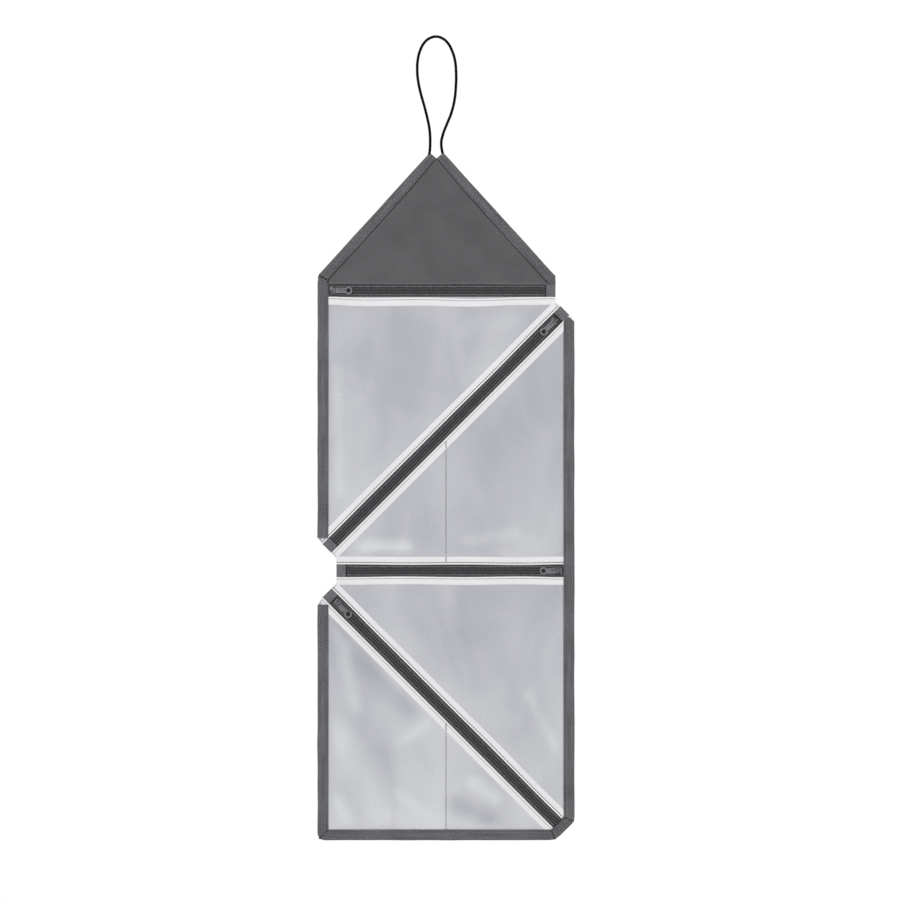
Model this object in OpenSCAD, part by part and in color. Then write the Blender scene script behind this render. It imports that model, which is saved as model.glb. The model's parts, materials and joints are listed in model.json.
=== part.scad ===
// Hanging travel jewelry case that folds up along its zips.
// Millimetres. The origin is the inside top of the hanging loop, +Z is up,
// +X is to the right as seen from the front, and the front faces -Y.

/* [Body] */
// Width across the outer edges of the side bindings
body_w = 244; // [225:1:265]
// Height of the upper bay, from the top zip to the middle zip
upper_bay_h = 254; // [235:1:275]
// Height of the lower bay, from the middle zip to the bottom edge
lower_bay_h = 250; // [235:1:270]
// Sideways step where a horizontal zip stops short of the far edge
notch = 18; // [16:0.5:22]
// Height of the film corner that stands beside each step
ear = 5; // [3:0.5:6]
// How far the diagonal lines pass outside the left edge
diag_left = 6; // [4:0.5:8]
// How far the upper diagonal line passes outside the right edge
diag_right_upper = 4; // [2:0.5:6]
// How far the lower diagonal line passes outside the right edge
diag_right_lower = 0; // [-2:0.5:4]
// Distance of the diagonal zip ends from the side edges
diag_inset = 9; // [8:0.5:11]

/* [Flap] */
// Height of the flap from the top zip to its tip
flap_rise = 125; // [110:1:140]
// Height of the upright sides of the flap
flap_shoulder = 8; // [6:0.5:11]
// Width across the tip of the flap
flap_tip_w = 13; // [12:0.5:15]
// Depth of the cleft between the bindings at the tip of the flap
cleft_drop = 5.5; // [4:0.5:7]

/* [Fabric] */
// Thickness of the canvas
canvas_t = 0.6; // [0.4:0.1:0.9]
// Thickness of one layer of pocket film
film_t = 0.3; // [0.2:0.05:0.5]
// Width of the doubled hem beside each zip
hem_w = 7.5; // [5:0.5:10]
// Width of the edge binding
binding_w = 10.4; // [8:0.2:12]
// Thickness of one layer of binding
binding_t = 0.5; // [0.3:0.1:0.7]
// Slack between two panels at a fold line
fold_gap = 0.2; // [0.1:0.05:0.4]
// Drop from the fold line to the start of the lower left binding
start_drop = 1; // [0:0.2:4]

/* [Zips] */
// Width of the zip left showing between the hems
zip_w = 12; // [11:0.5:14]
// Thickness of the zip tape
tape_t = 0.3; // [0.2:0.05:0.5]
// Width of zip tape hidden under a hem
tape_tuck = 5; // [3:0.5:6]
// Width of the closed coil chain
coil_w = 4.8; // [4:0.2:5.6]
// Height of the coil chain above its tape
coil_h = 1.2; // [0.9:0.1:1.6]
// Slot between the two coils, in which the slider's post runs
coil_gap = 0.8; // [0.6:0.1:1]
// Length of the fabric tab over a zip end
tab_l = 10; // [8:0.5:12]
// Thickness of one layer of the tab
tab_t = 0.35; // [0.25:0.05:0.4]

/* [Sliders] */
// Gap between a parked slider and the tab beside it
tab_gap = 0.5; // [0.3:0.1:1]
// Gap between a parked slider and the binding beside it
binding_gap = 1.1; // [0.5:0.1:4]
// Length of the slider body
slider_l = 9; // [8:0.5:11]
// Width of the slider body at its shoulders
slider_w = 8; // [7.4:0.2:9]
// Thickness of the slider's two plates
plate_t = 0.6; // [0.5:0.05:0.8]
// Running clearance round the slider
slip = 0.1; // [0.1:0.02:0.14]
// Radius of the pull's cross pin
pin_r = 0.5; // [0.4:0.05:0.6]
// Clearance round the pin
pin_slip = 0.08; // [0.05:0.01:0.12]
// Distance from the pin to the centre of the pull's eye
pull_l = 13.5; // [12:0.5:17]
// Thickness of the pull
pull_t = 0.8; // [0.6:0.05:0.9]
// Width of the pull between its yoke and its eye
pull_w = 5.2; // [4:0.2:5.6]
// Outer radius of the pull's eye
eye_r = 3.7; // [3:0.1:4]
// Radius of the hole in the eye
eye_hole_r = 2.1; // [1.4:0.1:2.4]

/* [Loop] */
// Drop from the hanging point to the tip of the flap
loop_drop = 109; // [109:0.5:110]
// Diameter of the elastic cord
cord_d = 2.6; // [1.6:0.1:3]

/* [Seams] */
// Length of one stitch in the pocket dividers
stitch_l = 2; // [1.5:0.1:2.4]
// Distance from one stitch to the next
stitch_pitch = 3; // [2.8:0.1:4]
// Thickness of the sewing thread
thread_t = 0.4; // [0.3:0.05:0.5]

/* [Hidden] */
$fn = 48;

// Upright edges
x_left = -(body_w - notch) / 2;
x_right = x_left + body_w;
x_top_end = x_right - notch;
x_mid_end = x_left + notch;
x_seam = (x_left + x_right) / 2;

// Heights, from the flap's tip down to the bottom edge
z_tip = -loop_drop;
z_top_hi = z_tip - flap_rise;
z_top_lo = z_top_hi - zip_w;
z_mid_hi = z_top_lo - upper_bay_h;
z_mid_lo = z_mid_hi - zip_w;
z_bottom = z_mid_lo - lower_bay_h;

// Depths in front of the middle of the canvas
canvas_back = -canvas_t / 2;
canvas_front = canvas_t / 2;
plate_back = canvas_front + slip;
plate_inner = plate_back + plate_t;
tape_back = plate_inner + slip;
tape_front = tape_back + tape_t;
film_front = tape_front + film_t;
hem_front = film_front + film_t;
coil_front = tape_front + coil_h;
cap_back = coil_front + slip;
cap_front = cap_back + plate_t;
pin_f = cap_front + 0.35 + pull_t / 2;
bridge_r = pin_r + pin_slip + 0.45;
bind_back = canvas_back - binding_t;
bind_front = film_front + binding_t;

// Points and lines in the plane of the panels
function unit(v) = v / norm(v);
function left_of(u) = [-u[1], u[0]];
function at_x(p, u, x) = p + u * (x - p[0]) / u[0];
function at_z(p, u, z) = p + u * (z - p[1]) / u[1];

half = zip_w / 2;
edge = binding_t;
fold = half + fold_gap;

// Upper diagonal zip, rising to the right, and its two ends
d1_from = [x_left - diag_left, z_mid_hi];
d1_to = [x_right + diag_right_upper, z_top_lo];
d1_u = unit(d1_to - d1_from);
d1_n = left_of(d1_u);
d1_low = at_x(d1_from, d1_u, x_left + diag_inset);
d1_high = at_x(d1_from, d1_u, x_right - diag_inset);

// Lower diagonal zip, falling to the right, and its two ends
d2_from = [x_left - diag_left, z_mid_lo];
d2_to = [x_right + diag_right_lower, z_bottom];
d2_u = unit(d2_to - d2_from);
d2_n = left_of(d2_u);
d2_high = at_x(d2_from, d2_u, x_left + diag_inset);
d2_low = at_x(d2_from, d2_u, x_right - diag_inset);
d2_stop = d2_low - d2_u * edge;

// Ends of the upright bindings where they meet the diagonal zips
z_left_end = at_x(d1_from + d1_n * half, d1_u, x_left + binding_w)[1];
z_left_start = at_x(d2_from - d2_n * fold, d2_u, x_left + binding_w)[1] - start_drop;
cut_low = d1_high - d1_n * fold;
corner_out = at_x(d2_low, d2_n, x_right);
corner_in = at_x(d2_low - d2_u * binding_w, d2_n, x_right - binding_w);

// Outlines of the canvas and of the film
flap_out = [-flap_tip_w / 2, z_tip];
flap_foot = [x_left, z_top_hi + flap_shoulder];
flap_u = unit(flap_out - flap_foot);
flap_n = -left_of(flap_u);
flap_in = flap_out + flap_n * binding_w;
flap_cleft = [0, z_tip - cleft_drop];
flap_hip = at_x(flap_in, flap_u, x_left + binding_w);
flap_rim = flap_out + flap_n * edge;
flap_z = z_top_hi + fold_gap;

flap_half = [
    [x_left + edge, flap_z],
    at_x(flap_rim, flap_u, x_left + edge),
    flap_rim,
    flap_cleft,
    [0, flap_z]
];
flap_strip = [
    [x_left, flap_z],
    flap_foot,
    flap_out,
    flap_cleft,
    flap_hip,
    [x_left + binding_w, flap_z]
];
top_ear = [x_top_end, z_top_lo - ear];
mid_ear_up = [x_mid_end, z_mid_hi + ear];
mid_ear_down = [x_mid_end, z_mid_lo - ear];

canvas_1 = [
    [x_left + edge, z_top_hi],
    [x_top_end, z_top_hi],
    top_ear,
    d1_high + d1_n * half,
    d1_high - d1_n * half,
    d1_low - d1_n * half,
    d1_low + d1_n * half,
    [x_left + edge, z_left_end]
];
film_1 = [
    [x_left + edge, z_top_lo],
    [x_top_end, z_top_lo],
    top_ear,
    d1_high + d1_n * half,
    d1_low + d1_n * half,
    [x_left + edge, z_left_end]
];
panel_2 = [
    d1_low - d1_n * fold,
    cut_low,
    at_x(cut_low, d1_n, x_right - edge),
    [x_right - edge, z_mid_hi + fold_gap],
    [x_mid_end, z_mid_hi + fold_gap],
    mid_ear_up
];
canvas_3 = [
    [x_mid_end, z_mid_hi],
    [x_right - edge, z_mid_hi],
    at_x(d2_stop, d2_n, x_right - edge),
    d2_stop - d2_n * half,
    d2_high - d2_n * half,
    d2_high + d2_n * half,
    mid_ear_down
];
film_3 = [
    [x_mid_end, z_mid_lo],
    [x_right - edge, z_mid_lo],
    at_x(d2_stop, d2_n, x_right - edge),
    d2_stop + d2_n * half,
    d2_high + d2_n * half,
    mid_ear_down
];
panel_4 = [
    d2_high - d2_n * fold,
    d2_stop - d2_n * fold,
    at_z(d2_stop, d2_n, z_bottom + edge),
    [x_left + edge, z_bottom + edge],
    [x_left + edge, z_left_start]
];

// Zips: start, direction, length, covers at both ends, hem side, the tape's insets at both
// ends, and the gap before the parked slider
zip_top = [
    [x_left, z_top_hi - half],
    0,
    x_top_end - x_left,
    binding_w,
    tab_l,
    -1,
    edge,
    tab_t,
    binding_gap
];
zip_upper = [
    d1_high,
    atan2(-d1_u[1], -d1_u[0]),
    norm(d1_high - d1_low),
    tab_l,
    tab_l,
    -1,
    tab_t,
    tab_t,
    tab_gap
];
zip_middle = [
    [x_right, z_mid_hi - half],
    180,
    x_right - x_mid_end,
    binding_w,
    tab_l,
    1,
    edge,
    tab_t,
    binding_gap
];
zip_lower = [
    d2_high,
    atan2(d2_u[1], d2_u[0]),
    norm(d2_low - d2_high),
    tab_l,
    binding_w,
    1,
    tab_t,
    edge,
    tab_gap
];

// Route of the cord's middle line, from one end of the flap's binding to the other
cord_route = [
    [-9.5, -117.5], [-7.5, -113], [-6.5, -108], [-6, -99.5], [-6.5, -88], [-8.5, -77],
    [-11.5, -65], [-15, -52.5], [-17.5, -40.5], [-18.3, -31], [-17.8, -21], [-15.6, -12],
    [-11.2, -4], [-6, 0], [0, 1.3], [5.5, -0.3], [10.5, -4.5], [14.5, -11.5], [17.5, -21],
    [18.6, -32], [18.4, -46], [17, -59.5], [14, -71.5], [10, -81.5], [6.5, -90.5],
    [4.6, -98.5], [5, -105.5], [6.5, -111.5], [9.5, -117.5]
];
cord_sides = 8;

function mid_curve(a, b, c, d, t) = (2 * b + (c - a) * t + (2 * a - 5 * b + 4 * c - d) * t * t
    + (3 * b - a - 3 * c + d) * t * t * t) / 2;
function route_at(i) = cord_route[max(0, min(len(cord_route) - 1, i))];
cord_path = [
    for (i = [0 : len(cord_route) - 2], t = [0, 0.5])
        mid_curve(route_at(i - 1), route_at(i), route_at(i + 1), route_at(i + 2), t),
    route_at(len(cord_route) - 1)
];
cord_last = len(cord_path) - 1;
function cord_side(i) = left_of(unit(cord_path[min(cord_last, i + 1)] - cord_path[max(0, i - 1)]));
cord_points = [
    for (i = [0 : cord_last], k = [0 : cord_sides - 1])
        let (n = cord_side(i), a = 360 * k / cord_sides, r = cord_d / 2)
            [
                cord_path[i][0] + r * cos(a) * n[0],
                r * sin(a),
                cord_path[i][1] + r * cos(a) * n[1]
            ]
];
cord_faces = [
    for (i = [0 : cord_last - 1], k = [0 : cord_sides - 1])
        let (a = i * cord_sides, b = a + cord_sides, j = (k + 1) % cord_sides)
            [a + k, a + j, b + j, b + k],
    [for (k = [cord_sides - 1 : -1 : 0]) k],
    [for (k = [0 : cord_sides - 1]) cord_last * cord_sides + k]
];

grey = [0.38, 0.38, 0.39];
frost = [0.8, 0.81, 0.84, 0.6];
dark = [0.22, 0.22, 0.23];
gunmetal = [0.45, 0.45, 0.46];

// A flat piece with the given outline, from one depth to another
module slab(outline, back, front) {
    translate([0, -back, 0])
        rotate([90, 0, 0])
            linear_extrude(front - back)
                polygon(outline);
}

// A strip beside a line, running to the left of its direction
module strip(p, u, w, back, front) {
    n = left_of(u);
    reach = 2 * (upper_bay_h + lower_bay_h + flap_rise + loop_drop);
    slab([p - u * reach, p + u * reach, p + u * reach + n * w, p - u * reach + n * w], back, front);
}

// Binding folded round an edge, open on the side away from the edge's line
module bound(outline, p, u, front) {
    inner = front - binding_t;
    difference() {
        slab(outline, bind_back, front);
        strip(p + left_of(u) * edge, u, 2 * binding_w, canvas_back, inner);
    }
}

// Moves a piece drawn along +X to a zip, at a distance from the zip's start
module along(zip, s) {
    translate([zip[0][0], 0, zip[0][1]])
        rotate([0, -zip[1], 0])
            translate([s, 0, 0])
                children();
}

module tapes(zip) {
    s0 = zip[6];
    s1 = zip[2] - zip[7];
    inner = coil_gap / 2;
    along(zip, 0) {
        for (side = [-1, 1])
            slab([[s0, side * inner], [s1, side * inner], [s1, side * half], [s0, side * half]],
                tape_back, tape_front);
        slab([
            [zip[3], zip[5] * half],
            [zip[2] - zip[4], zip[5] * half],
            [zip[2] - zip[4], zip[5] * (half + tape_tuck)],
            [zip[3], zip[5] * (half + tape_tuck)]
        ], tape_back, tape_front);
    }
}

module coils(zip) {
    s0 = zip[3] + slip;
    s1 = zip[2] - zip[4] - slip;
    along(zip, 0)
        for (side = [-1, 1])
            slab([
                [s0, side * coil_gap / 2],
                [s1, side * coil_gap / 2],
                [s1, side * coil_w / 2],
                [s0, side * coil_w / 2]
            ], tape_front, coil_front);
}

// Fabric folded round the end of a zip, its closed end at s
module tab(zip, s, way) {
    along(zip, s)
        difference() {
            slab([[0, -half], [way * tab_l, -half], [way * tab_l, half], [0, half]],
                tape_back - tab_t, tape_front + tab_t);
            slab([
                [way * tab_t, -zip_w],
                [way * 2 * tab_l, -zip_w],
                [way * 2 * tab_l, zip_w],
                [way * tab_t, zip_w]
            ], tape_back, tape_front);
        }
}

// Slider body: two plates on a post, side walls, and a bridge for the pull
module slider(zip) {
    s = zip[3] + zip[8] + slider_l / 2;
    a = slider_l / 2;
    w = slider_w / 2;
    plate = [[-a, -w + 1], [-a + 1.2, -w], [-0.2 * a, -w], [a, -w + 1.2],
        [a, w - 1.2], [-0.2 * a, w], [-a + 1.2, w], [-a, w - 1]];
    post = coil_gap / 2 - slip;
    groove = coil_w / 2 + slip;
    along(zip, s) {
        slab(plate, plate_back, plate_inner);
        slab([[-a + 0.6, -post], [-0.3 * a, -post], [-0.3 * a, post], [-a + 0.6, post]],
            plate_inner, cap_back);
        difference() {
            slab(plate, tape_front + slip, cap_front);
            slab([[-2 * a, -groove], [2 * a, -groove], [2 * a, groove], [-2 * a, groove]],
                tape_front, cap_back);
        }
        difference() {
            union() {
                slab([[-bridge_r, -0.8], [bridge_r, -0.8], [bridge_r, 0.8], [-bridge_r, 0.8]],
                    cap_front, pin_f);
                translate([0, -pin_f, 0])
                    cylinder(h = 1.6, r = bridge_r, center = true);
            }
            translate([0, -pin_f, 0])
                cylinder(h = 4, r = pin_r + pin_slip, center = true);
        }
    }
}

// Pull: cross pin, two arms beside the bridge, a flat tag and a round eye
module pull(zip) {
    s = zip[3] + zip[8] + slider_l / 2;
    f0 = pin_f - pull_t / 2;
    f1 = pin_f + pull_t / 2;
    root = bridge_r + 0.4;
    along(zip, s) {
        translate([0, -pin_f, 0])
            cylinder(h = 3.8, r = pin_r, center = true);
        for (side = [-1, 1])
            slab([[0, side], [root + 1, side], [root + 1, 1.9 * side], [0, 1.9 * side]], f0, f1);
        difference() {
            union() {
                slab([[root, -1.9], [root + 1.5, -pull_w / 2], [pull_l, -pull_w / 2],
                    [pull_l, pull_w / 2], [root + 1.5, pull_w / 2], [root, 1.9]], f0, f1);
                translate([pull_l, -f0, 0])
                    rotate([90, 0, 0])
                        cylinder(h = pull_t, r = eye_r);
            }
            translate([pull_l, -f0 + 1, 0])
                rotate([90, 0, 0])
                    cylinder(h = pull_t + 2, r = eye_hole_r);
        }
    }
}

// A pocket divider: stitches on the film and threads down to the canvas
module seam(z_hi, z_lo) {
    count = floor((z_hi - z_lo - stitch_l) / stitch_pitch);
    w = thread_t / 2;
    for (i = [0 : count]) {
        z = z_hi - i * stitch_pitch;
        slab([[x_seam - w, z - stitch_l], [x_seam + w, z - stitch_l], [x_seam + w, z], [x_seam - w, z]],
            film_front, film_front + thread_t / 2);
        slab([[x_seam - w, z - thread_t], [x_seam + w, z - thread_t], [x_seam + w, z], [x_seam - w, z]],
            canvas_front, tape_front);
    }
}

module hang_cord() {
    color([0.04, 0.04, 0.04])
        polyhedron(points = cord_points, faces = cord_faces);
}

module flap_canvas() {
    color(grey) {
        slab(flap_half, canvas_back, canvas_front);
        mirror([1, 0, 0])
            slab(flap_half, canvas_back, canvas_front);
    }
}

module flap_binding_left() {
    color(grey)
        difference() {
            slab(flap_strip, bind_back, -bind_back);
            slab(flap_half, canvas_back, canvas_front);
        }
}

module flap_binding_right() {
    mirror([1, 0, 0])
        flap_binding_left();
}

module canvas_upper_left() {
    color(grey)
        slab(canvas_1, canvas_back, canvas_front);
}

module film_upper_left() {
    color(frost) {
        slab(film_1, tape_front, film_front);
        intersection() {
            slab(film_1, film_front, hem_front);
            union() {
                strip([0, z_top_lo], [-1, 0], hem_w, film_front, hem_front);
                strip(d1_from + d1_n * half, d1_u, hem_w, film_front, hem_front);
            }
            strip([x_left + binding_w, 0], [0, -1], body_w, film_front, hem_front);
        }
    }
}

module binding_left_upper() {
    x = x_left + binding_w;
    color(grey)
        bound([[x_left, z_top_hi], [x, z_top_hi], [x, z_left_end], [x_left, z_left_end]],
            [x_left, 0], [0, -1], bind_front);
}

module canvas_upper_right() {
    color(grey)
        slab(panel_2, canvas_back, canvas_front);
}

module film_upper_right() {
    color(frost) {
        slab(panel_2, tape_front, film_front);
        intersection() {
            slab(panel_2, film_front, hem_front);
            union() {
                strip(d1_from - d1_n * half, -d1_u, hem_w, film_front, hem_front);
                strip([0, z_mid_hi], [1, 0], hem_w, film_front, hem_front);
            }
            strip([x_right - binding_w, 0], [0, 1], body_w, film_front, hem_front);
        }
    }
}

module binding_right_upper() {
    x = x_right - binding_w;
    color(grey)
        bound([
            at_x(d1_from - d1_n * fold, d1_u, x),
            cut_low,
            at_x(cut_low, d1_n, x_right),
            [x_right, z_mid_hi + fold_gap],
            [x, z_mid_hi + fold_gap]
        ], [x_right, 0], [0, 1], bind_front);
}

module seam_upper_right() {
    color(grey)
        seam(at_x(d1_from - d1_n * (half + hem_w), d1_u, x_seam)[1] - 1, z_mid_hi + hem_w + 1);
}

module canvas_lower_right() {
    color(grey)
        slab(canvas_3, canvas_back, canvas_front);
}

module film_lower_right() {
    color(frost) {
        slab(film_3, tape_front, film_front);
        intersection() {
            slab(film_3, film_front, hem_front);
            union() {
                strip([0, z_mid_lo], [-1, 0], hem_w, film_front, hem_front);
                strip(d2_from + d2_n * half, d2_u, hem_w, film_front, hem_front);
            }
            strip([x_right - binding_w, 0], [0, 1], body_w, film_front, hem_front);
            strip(d2_low - d2_u * binding_w, d2_n, 2 * body_w, film_front, hem_front);
        }
    }
}

module binding_right_lower() {
    x = x_right - binding_w;
    color(grey)
        bound([[x, z_mid_hi], [x_right, z_mid_hi], corner_out, corner_in],
            [x_right, 0], [0, 1], bind_front);
}

module binding_corner() {
    color(grey)
        bound([
            corner_out,
            corner_in,
            d2_low - d2_u * binding_w - d2_n * half,
            d2_low - d2_n * half
        ], d2_low, d2_n, bind_front);
}

module canvas_lower_left() {
    color(grey)
        slab(panel_4, canvas_back, canvas_front);
}

module film_lower_left() {
    color(frost) {
        slab(panel_4, tape_front, film_front);
        intersection() {
            slab(panel_4, film_front, hem_front);
            strip(d2_from - d2_n * half, -d2_u, hem_w, film_front, hem_front);
            strip([x_left + binding_w, 0], [0, -1], body_w, film_front, hem_front);
            strip([0, z_bottom + binding_w], [1, 0], 2 * body_w, film_front, hem_front);
        }
    }
}

module binding_left_lower() {
    x = x_left + binding_w;
    color(grey)
        bound([[x_left, z_left_start], [x, z_left_start], [x, z_bottom + binding_w], [x_left, z_bottom]],
            [x_left, 0], [0, -1], bind_front);
}

module binding_bottom() {
    z = z_bottom + binding_w;
    color(grey)
        bound([
            [x_left, z_bottom],
            [x_left + binding_w, z],
            at_z(d2_from - d2_n * fold, d2_u, z),
            d2_low - d2_n * fold,
            at_z(d2_low, d2_n, z_bottom)
        ], [0, z_bottom], [1, 0], bind_front);
}

module seam_lower_left() {
    color(grey)
        seam(at_x(d2_from - d2_n * (half + hem_w), d2_u, x_seam)[1] - 1, z_bottom + binding_w + 1);
}

module top_zip_tapes() { color(dark) tapes(zip_top); }
module top_zip_coils() { color(dark) coils(zip_top); }
module top_zip_tab() { color(grey) tab(zip_top, zip_top[2], -1); }
module top_zip_slider() { color(gunmetal) slider(zip_top); }
module top_zip_pull() { color(gunmetal) pull(zip_top); }

module upper_zip_tapes() { color(dark) tapes(zip_upper); }
module upper_zip_coils() { color(dark) coils(zip_upper); }
module upper_zip_tabs() {
    color(grey) {
        tab(zip_upper, 0, 1);
        tab(zip_upper, zip_upper[2], -1);
    }
}
module upper_zip_slider() { color(gunmetal) slider(zip_upper); }
module upper_zip_pull() { color(gunmetal) pull(zip_upper); }

module middle_zip_tapes() { color(dark) tapes(zip_middle); }
module middle_zip_coils() { color(dark) coils(zip_middle); }
module middle_zip_tab() { color(grey) tab(zip_middle, zip_middle[2], -1); }
module middle_zip_slider() { color(gunmetal) slider(zip_middle); }
module middle_zip_pull() { color(gunmetal) pull(zip_middle); }

module lower_zip_tapes() { color(dark) tapes(zip_lower); }
module lower_zip_coils() { color(dark) coils(zip_lower); }
module lower_zip_tab() { color(grey) tab(zip_lower, 0, 1); }
module lower_zip_slider() { color(gunmetal) slider(zip_lower); }
module lower_zip_pull() { color(gunmetal) pull(zip_lower); }

hang_cord();
flap_canvas();
flap_binding_left();
flap_binding_right();
canvas_upper_left();
film_upper_left();
binding_left_upper();
top_zip_tapes();
top_zip_coils();
top_zip_tab();
top_zip_slider();
top_zip_pull();
upper_zip_tapes();
upper_zip_coils();
upper_zip_tabs();
upper_zip_slider();
upper_zip_pull();
canvas_upper_right();
film_upper_right();
binding_right_upper();
seam_upper_right();
canvas_lower_right();
film_lower_right();
binding_right_lower();
binding_corner();
middle_zip_tapes();
middle_zip_coils();
middle_zip_tab();
middle_zip_slider();
middle_zip_pull();
lower_zip_tapes();
lower_zip_coils();
lower_zip_tab();
lower_zip_slider();
lower_zip_pull();
canvas_lower_left();
film_lower_left();
binding_left_lower();
binding_bottom();
seam_lower_left();
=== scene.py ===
import json
import math

import bmesh
import bpy
from mathutils import Matrix, Vector, noise

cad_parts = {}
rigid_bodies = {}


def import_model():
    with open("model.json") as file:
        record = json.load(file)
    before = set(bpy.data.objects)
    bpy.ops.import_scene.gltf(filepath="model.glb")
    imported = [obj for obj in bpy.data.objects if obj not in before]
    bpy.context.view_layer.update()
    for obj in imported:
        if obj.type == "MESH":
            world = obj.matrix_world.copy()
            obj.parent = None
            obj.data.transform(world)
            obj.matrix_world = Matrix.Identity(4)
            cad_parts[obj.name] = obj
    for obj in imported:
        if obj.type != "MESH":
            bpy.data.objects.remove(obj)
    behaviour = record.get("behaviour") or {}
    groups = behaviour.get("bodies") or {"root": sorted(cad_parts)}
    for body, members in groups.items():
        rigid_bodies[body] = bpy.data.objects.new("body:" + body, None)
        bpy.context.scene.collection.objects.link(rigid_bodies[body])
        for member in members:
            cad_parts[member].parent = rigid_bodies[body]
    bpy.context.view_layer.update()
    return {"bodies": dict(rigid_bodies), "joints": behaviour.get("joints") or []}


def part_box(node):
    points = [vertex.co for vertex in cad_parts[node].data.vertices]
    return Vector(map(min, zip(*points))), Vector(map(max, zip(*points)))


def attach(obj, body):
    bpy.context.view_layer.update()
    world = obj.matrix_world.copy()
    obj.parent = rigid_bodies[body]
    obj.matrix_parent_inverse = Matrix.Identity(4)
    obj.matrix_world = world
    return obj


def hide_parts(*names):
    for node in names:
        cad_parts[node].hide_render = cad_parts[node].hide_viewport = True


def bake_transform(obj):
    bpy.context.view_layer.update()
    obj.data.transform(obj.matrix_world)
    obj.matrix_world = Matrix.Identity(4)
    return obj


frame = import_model()
scene = bpy.context.scene
scene.view_settings.view_transform = "Standard"

# Camera. It looks square on to the front from well back, so that the flat
# case shows hardly any perspective, and it takes in a square of known width.
MM = 0.001
PICTURE_PIXELS = 900
PIXEL = 0.95 * MM
HANGING_POINT_PIXEL = Vector((436.5, 38))
CAMERA_DISTANCE = 2.85
SENSOR_W = 36

middle_pixel = Vector((PICTURE_PIXELS / 2, PICTURE_PIXELS / 2))
aim = (middle_pixel - HANGING_POINT_PIXEL) * PIXEL
lens = bpy.data.cameras.new("camera")
lens.sensor_width = SENSOR_W
lens.lens = SENSOR_W * CAMERA_DISTANCE / (PICTURE_PIXELS * PIXEL)
camera = bpy.data.objects.new("camera", lens)
camera.location = (aim.x, -CAMERA_DISTANCE, -aim.y)
camera.rotation_euler = (math.pi / 2, 0, 0)
scene.collection.objects.link(camera)
scene.camera = camera


# Hanging loop. A thin black elastic cord in a knitted sleeve; its two ends are
# caught inside the bindings at the tip of the flap, and it hangs in one loop.
CORD_D = 2.6 * MM
CORD_ROUTE = [
    (-0.0095, -0.1175), (-0.0075, -0.113), (-0.0065, -0.108), (-0.006, -0.0995),
    (-0.0065, -0.088), (-0.0085, -0.077), (-0.0115, -0.065), (-0.015, -0.0525),
    (-0.0175, -0.0405), (-0.0183, -0.031), (-0.0178, -0.021), (-0.0156, -0.012),
    (-0.0112, -0.004), (-0.006, 0), (0, 0.0013), (0.0055, -0.0003),
    (0.0105, -0.0045), (0.0145, -0.0115), (0.0175, -0.021), (0.0186, -0.032),
    (0.0184, -0.046), (0.017, -0.0595), (0.014, -0.0715), (0.01, -0.0815),
    (0.0065, -0.0905), (0.0046, -0.0985), (0.005, -0.1055), (0.0065, -0.1115),
    (0.0095, -0.1175),
]
KNIT_ROWS = 150
KNIT_WALES = 5


def srgb(red, green, blue):
    """A colour as the eye reads it, 0 to 255, as the linear colour that a shader takes."""
    def linear(level):
        level /= 255
        return level / 12.92 if level <= 0.04045 else ((level + 0.055) / 1.055) ** 2.4
    return (*map(linear, (red, green, blue)), 1)


def new_finish(name, settings):
    """A material whose shader has the given sockets set, and its node tree."""
    finish = bpy.data.materials.new(name)
    finish.use_nodes = True
    for socket, value in settings.items():
        finish.node_tree.nodes["Principled BSDF"].inputs[socket].default_value = value
    return finish, finish.node_tree


def add_node(tree, kind, inputs, **options):
    """Adds a shader node and returns its first output. An input is a value or an output to link."""
    node = tree.nodes.new("ShaderNode" + kind)
    for name, value in options.items():
        setattr(node, name, value)
    for socket, value in inputs.items():
        if isinstance(value, bpy.types.NodeSocket):
            tree.links.new(value, node.inputs[socket])
        else:
            node.inputs[socket].default_value = value
    return node.outputs[0]


def two_tones(tree, factor, dark, light, low=0.3, high=0.7):
    """A colour that goes from dark to light as a factor goes from low to high."""
    colour = add_node(tree, "ValToRGB", {0: factor})
    stops = colour.node.color_ramp.elements
    stops[0].position, stops[0].color = low, dark
    stops[1].position, stops[1].color = high, light
    return colour


def surfaced(finish, colour, height, strength, depth, **options):
    """The material with its colour linked, and with a fine relief of the given depth."""
    tree = finish.node_tree
    shader = tree.nodes["Principled BSDF"].inputs
    tree.links.new(colour, shader["Base Color"])
    relief = {"Height": height, "Strength": strength, "Distance": depth}
    tree.links.new(add_node(tree, "Bump", relief, **options), shader["Normal"])
    return finish


def cord_finish():
    """Black elastic in a sleeve of small knitted stitches, which throws back hardly any light."""
    finish, tree = new_finish("knitted_cord", {"Roughness": 0.95, "Specular IOR Level": 0.05})
    lay = add_node(tree, "UVMap", {}, uv_map="UVMap")
    knit = add_node(tree, "Mapping", {0: lay, "Scale": (KNIT_ROWS, KNIT_WALES, 1)})
    stitch = add_node(tree, "TexVoronoi", {"Vector": knit, "Scale": 1, "Randomness": 0.25})
    colour = two_tones(tree, stitch, srgb(22, 22, 23), srgb(6, 6, 7), 0.1, 0.6)
    return surfaced(finish, colour, stitch, 0.4, 0.15 * MM, invert=True)


cord_line = bpy.data.curves.new("loop_cord", "CURVE")
cord_line.dimensions = "3D"
cord_line.bevel_depth = CORD_D / 2
cord_line.bevel_resolution = 4
cord_line.resolution_u = 8
cord_line.use_fill_caps = True
spline = cord_line.splines.new("BEZIER")
spline.bezier_points.add(len(CORD_ROUTE) - 1)
for point, (x, z) in zip(spline.bezier_points, CORD_ROUTE):
    point.co = (x, 0, z)
    point.handle_left_type = point.handle_right_type = "AUTO"
cord_line.materials.append(cord_finish())
loop_cord = bpy.data.objects.new("loop_cord", cord_line)
scene.collection.objects.link(loop_cord)
route = [Vector(point) for point in CORD_ROUTE]
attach(loop_cord, "flap")
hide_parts("hang_cord")


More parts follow.
